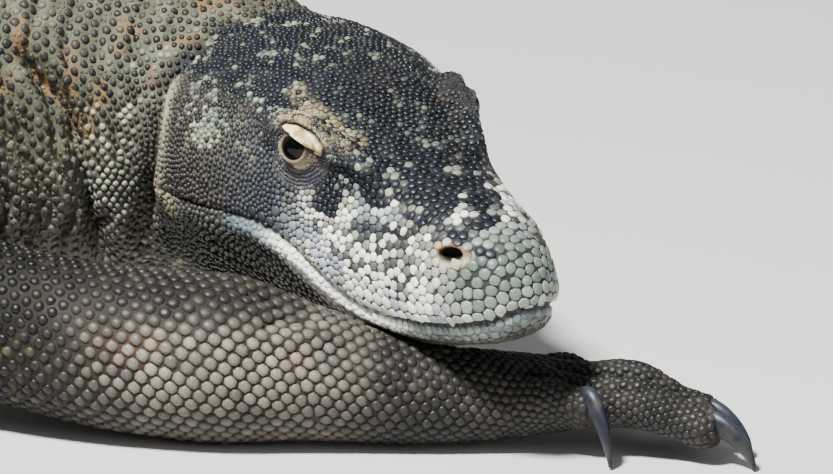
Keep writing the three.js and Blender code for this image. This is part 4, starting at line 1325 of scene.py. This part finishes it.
def raising():
    """Raises every face of a mesh of outlines by its own grow vector, in two steps that draw it in."""
    tree = bpy.data.node_groups.new("raise scales", "GeometryNodeTree")
    for name, kind in (("Outlines", "Geometry"), ("Shoulder", "Float"), ("Crown", "Float"),
                       ("Patch", "Float"), ("Finish", "Material")):
        tree.interface.new_socket(name, in_out="INPUT", socket_type="NodeSocket" + kind)
    tree.interface.new_socket("Scales", in_out="OUTPUT", socket_type="NodeSocketGeometry")
    given = tree.nodes.new("NodeGroupInput").outputs

    def named(name, kind):
        return add_node(tree, "GeometryNodeInputNamedAttribute", {"Name": name}, data_type=kind).outputs[0]

    def stored(geometry, name, kind, domain, value, selection):
        return add_node(tree, "GeometryNodeStoreNamedAttribute", {
            "Geometry": geometry, "Name": name, "Value": value, **selection},
            data_type=kind, domain=domain).outputs["Geometry"]

    def scaled(vector, factor):
        inputs = {0: vector, "Scale": factor}
        return add_node(tree, "ShaderNodeVectorMath", inputs, operation="SCALE").outputs[0]

    geometry = stored(given["Outlines"], "ring", "FLOAT", "POINT", 1.0, {})
    top = {}
    for share, drawn, ring in ((0.7, "Shoulder", 0.7), (0.3, "Crown", 0.36)):
        extrude = add_node(tree, "GeometryNodeExtrudeMesh", {
            "Individual": True, "Mesh": geometry, **top,
            "Offset": scaled(named("grow", "FLOAT_VECTOR"), share)}, mode="FACES")
        top = {"Selection": extrude.outputs["Top"]}
        draw = add_node(tree, "GeometryNodeScaleElements", {
            "Geometry": extrude.outputs["Mesh"], **top, "Scale": given[drawn]}, domain="FACE")
        geometry = stored(draw.outputs["Geometry"], "ring", "FLOAT", "POINT", ring, top)
    across = scaled(scaled(named("petal", "FLOAT_VECTOR"), named("ring", "FLOAT")), given["Patch"])
    place = add_node(tree, "ShaderNodeVectorMath", {0: named("place", "FLOAT_VECTOR"), 1: across},
                     operation="ADD")
    geometry = stored(geometry, "OFBake", "FLOAT2", "CORNER", place.outputs["Vector"], {})
    soft = add_node(tree, "GeometryNodeSetShadeSmooth", {"Geometry": geometry})
    real = add_node(tree, "GeometryNodeRealizeInstances", {"Geometry": soft.outputs["Geometry"]})
    finish = add_node(tree, "GeometryNodeSetMaterial", {
        "Geometry": real.outputs["Geometry"], "Material": given["Finish"]})
    add_node(tree, "NodeGroupOutput", {"Scales": finish.outputs["Geometry"]})
    return tree


raise_tree = raising()


def unwrapped(places, part):
    """Where places lie on the unrolled skin of one part: along its path, and round it, both from 0 to 1."""
    if part == HEAD_PART:
        local = to_head(places)
        turn = np.arctan2(local[:, 1], local[:, 2] - HEAD_MIDDLE_Z)
        return (local[:, 0] + 30) / 240, turn / (2 * math.pi) + 0.5
    path = np.array(parts[part], float)[:, :3]
    line = curve(path, np.linspace(0, len(path) - 1, 200))
    nearest = np.zeros(len(places), int)
    for start in range(0, len(places), 2000):
        some = places[start:start + 2000]
        nearest[start:start + 2000] = np.argmin(np.linalg.norm(some[:, None] - line[None], axis=2), axis=1)
    ahead = unit(line[np.minimum(nearest + 1, 199)] - line[np.maximum(nearest - 1, 0)])
    side = unit(np.cross((0, 0, 1), ahead))
    away = places - line[nearest]
    step = np.linalg.norm(line[1] - line[0]).clip(0.5)
    along = (nearest + (away * ahead).sum(1) / step).clip(0, 199) / 199
    turn = np.arctan2((away * side).sum(1), (away * np.cross(ahead, side)).sum(1))
    return along, turn / (2 * math.pi) + 0.5


# The widest a scale spreads, in pitches; how far its edge is sunk, in rises; and, in millimetres, how near
# the skin an edge is laid down on it, and the lowest a scale reaches. A patch of the map is 0.003 across.
WIDEST, SUNK, LAID_DOWN, LOWEST = 0.62, 0.3, 1.5, 0.2
PATCH_HALF = 0.0015


def coat(name, slot, mask, sides, tiles, shoulder=0.86, crown=0.62, soft=False, worn=0.0):
    """One joined mesh of scales. `tiles` is each part's share of the texture map: left, low, wide, high."""
    chosen = np.nonzero(mask)[0]
    rng = np.random.default_rng(len(chosen))
    grown, normal = seeds[chosen], normals[chosen]
    on_head = slot == "face_hide"
    ahead = HEAD_AXES[0] if on_head else np.array([1.0, 0, 0])
    place = np.zeros((len(chosen), 3))
    for part, (left, low, wide, high) in tiles.items():
        mine = grown[:, PART] == part
        along, turn = unwrapped(grown[mine, PLACE], part)
        place[mine, 0] = left + wide * (0.01 + 0.98 * along.clip(0, 1))
        place[mine, 1] = low + high * (0.01 + 0.98 * turn)
    first = unit(ahead - (ahead * normal).sum(1, keepdims=True) * normal)
    second = np.cross(normal, first)
    angle = np.linspace(0, 2 * math.pi, sides, endpoint=False) + rng.random((len(chosen), 1)) * 0.4
    ray = np.cos(angle)[..., None] * first[:, None] + np.sin(angle)[..., None] * second[:, None]
    power = grown[:, SQUARE][:, None, None]
    to_mid = np.einsum("nak,njk->naj", ray, apart[chosen]) / (length[chosen][:, None, :, 0] ** 2)
    to_mid = np.clip(to_mid, 0, None) * (weight * blocked)[chosen][:, None]
    limit = 1 / (WIDEST * grown[:, PITCH])[:, None, None]
    reach = (np.sum((to_mid / limit) ** power, axis=2, keepdims=True) + 1) ** (-1 / power) / limit
    reach = reach[..., 0] * grown[:, FULL][:, None] * (1 + 0.05 * (rng.random((len(chosen), sides)) - 0.5))
    small = np.clip(reach.mean(1) / (0.42 * grown[:, PITCH]), 0.4, 1)
    rise = grown[:, RISE] * (0.85 + 0.3 * rng.random(len(chosen))) * small
    lean = grown[:, LEAN] * rise
    grow = normal * rise[:, None] * (1 + SUNK) - first * lean[:, None] * 0.5
    mesh_points = (grown[:, None, PLACE] + ray * reach[..., None]).reshape(-1, 3)
    # In front, where the skin bends most, the edges of the scales follow it.
    for index in np.nonzero(mesh_points[:, 0] > FRONT_X)[0].tolist():
        touch, _, _, distance = skin_surface.find_nearest(Vector(mesh_points[index]))
        if distance < LAID_DOWN:
            mesh_points[index] = touch
    mesh_points = mesh_points - np.repeat(normal * rise[:, None] * SUNK, sides, axis=0)
    faces = np.arange(len(mesh_points)).reshape(-1, sides).tolist()
    flat = new_object(name + "_outlines", mesh_points, faces)
    colours = markings(grown[:, PLACE], not soft, on_head) * (0.86 + 0.28 * rng.random((len(chosen), 1)))
    paint(flat.data, np.repeat(colours, sides, axis=0))
    petal = np.stack([np.cos(angle), np.sin(angle), 0 * angle], -1).reshape(-1, 3)
    carried = {"grow": np.repeat(grow, sides, axis=0) * MM, "place": np.repeat(place, sides, axis=0),
               "petal": petal}
    for key, values in carried.items():
        layer = flat.data.attributes.new(key, "FLOAT_VECTOR", "POINT")
        layer.data.foreach_set("vector", values.astype(np.float32).ravel())
    modifier = flat.modifiers.new("raise", "NODES")
    modifier.node_group = raise_tree
    for label, value in (("Shoulder", shoulder), ("Crown", crown), ("Patch", PATCH_HALF),
                         ("Finish", face_finish if on_head else body_finish)):
        modifier[raise_tree.interface.items_tree[label].identifier] = value
    made = bpy.data.meshes.new_from_object(flat.evaluated_get(bpy.context.evaluated_depsgraph_get()))
    # The edges of each scale are painted dark, as painted shade, and the crowns of the limbs' scales are
    # painted pale by worn, as a painted highlight.
    ring = np.empty(len(made.vertices), np.float32)
    made.attributes["ring"].data.foreach_get("value", ring)
    tone = np.empty((len(made.vertices), 4), np.float32)
    made.attributes["hide_tone"].data.foreach_get("color", tone.ravel())
    tone[:, :3] *= (1 - 0.62 * smooth(ring, 0.72, 1) + worn * (1 - smooth(ring, 0.36, 0.6)))[:, None]
    made.attributes["hide_tone"].data.foreach_set("color", tone.ravel())
    for key in (*carried, "ring"):
        made.attributes.remove(made.attributes[key])
    bpy.data.objects.remove(flat)
    raised = points_of(made)
    raised[:, 2] = np.maximum(raised[:, 2], LOWEST)
    set_points(made, raised)
    piece = bpy.data.objects.new(name, made)
    bpy.context.scene.collection.objects.link(piece)
    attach(piece, "root")


part_of = seeds[:, PART]
local_x = to_head(seeds[:, PLACE])[:, 0]
whole = {HEAD_PART: (0, 0, 1, 1), SPINE_PART: (0, 0, 1, 1)}
on_face = part_of == HEAD_PART
coat("scales_crown", "face_hide", on_face & (local_x < 66), 8, whole)
coat("scales_snout", "face_hide", on_face & (local_x >= 66), 8, whole, 0.94, 0.76)
on_spine = part_of == SPINE_PART
spine_x = seeds[:, 0]
coat("scales_neck", "hide", on_spine & (spine_x >= 200) & ~is_granule, 8, whole)
coat("granules_neck", "hide", is_granule, 6, whole, soft=True)
coat("scales_shoulders", "hide", on_spine & (spine_x < 200) & (spine_x >= -150), 7, whole)
coat("scales_loins", "hide", on_spine & (spine_x < -150) & (spine_x >= -560), 7, whole)
coat("scales_tail", "hide", on_spine & (spine_x < -560), 6, whole)
part = 2
for limb in LIMBS:
    tiles = {part: (0, 0, 1, 0.5)}
    for i in range(5):
        tiles[part + 1 + i] = (0.2 * i, 0.5, 0.2, 0.5)
    mine = (part_of >= part) & (part_of < part + 6)
    # The limbs' scales get a painted highlight on their crowns, given as worn.
    coat("scales_" + limb, "limb_hide", mine, 8 if limb == "arm_r" else 7, tiles, 0.88, 0.42, worn=0.3)
    part += 6

# ---------------------------------------------------------------------------------------------------------
# The floor, the studio light and the camera. The floor is plain pale paint, lit by one small strong lamp high
# on the animal's right and a wide weak one, under a pale even sky.

CAMERA_TARGET = Vector((0.4458, -0.110, 0.0781))
CAMERA_DISTANCE = 4.5
CAMERA_ELEVATION = math.radians(16)
VIEW_WIDTH = 0.3422
lens_data = bpy.data.cameras.new("camera")
lens_data.sensor_width = 36
lens_data.lens = lens_data.sensor_width * CAMERA_DISTANCE / VIEW_WIDTH
lens_data.clip_end = 50
camera = bpy.data.objects.new("camera", lens_data)
bpy.context.scene.collection.objects.link(camera)
toward = Vector((0, math.cos(CAMERA_ELEVATION), -math.sin(CAMERA_ELEVATION)))
camera.location = CAMERA_TARGET - toward * CAMERA_DISTANCE
camera.rotation_euler = toward.to_track_quat("-Z", "Y").to_euler()
bpy.context.scene.camera = camera

floor_material = bpy.data.materials.new("floor paint")
floor_material.use_nodes = True
floor_shader = floor_material.node_tree.nodes["Principled BSDF"]
floor_shader.inputs["Base Color"].default_value = (0.6, 0.59, 0.575, 1)
floor_shader.inputs["Roughness"].default_value = 0.8
FLOOR_HALF = 9000
corners = [(-FLOOR_HALF, -FLOOR_HALF, 0), (FLOOR_HALF, -FLOOR_HALF, 0), (FLOOR_HALF, FLOOR_HALF, 0),
           (-FLOOR_HALF, FLOOR_HALF, 0)]
floor = new_object("floor", corners, [(0, 1, 2, 3)])
floor.data.materials.append(floor_material)


def softbox(name, at, aim, size, power):
    data = bpy.data.lights.new(name, "AREA")
    data.shape = "DISK"
    data.size = size
    data.energy = power
    lamp = bpy.data.objects.new(name, data)
    bpy.context.scene.collection.objects.link(lamp)
    lamp.location = at
    lamp.rotation_euler = (Vector(aim) - Vector(at)).to_track_quat("-Z", "Y").to_euler()


HEAD_CENTRE = (0.4, -0.05, 0.08)
KEY_POWER, FILL_POWER, SKY_STRENGTH = 245, 12, 0.29
softbox("key", (-0.35, -1.1, 2.3), HEAD_CENTRE, 0.4, KEY_POWER)
softbox("fill", (2.4, -2.4, 1.6), HEAD_CENTRE, 2.0, FILL_POWER)
world = bpy.data.worlds.new("studio")
world.use_nodes = True
world.node_tree.nodes["Background"].inputs["Color"].default_value = (0.93, 0.95, 1, 1)
world.node_tree.nodes["Background"].inputs["Strength"].default_value = SKY_STRENGTH
bpy.context.scene.world = world
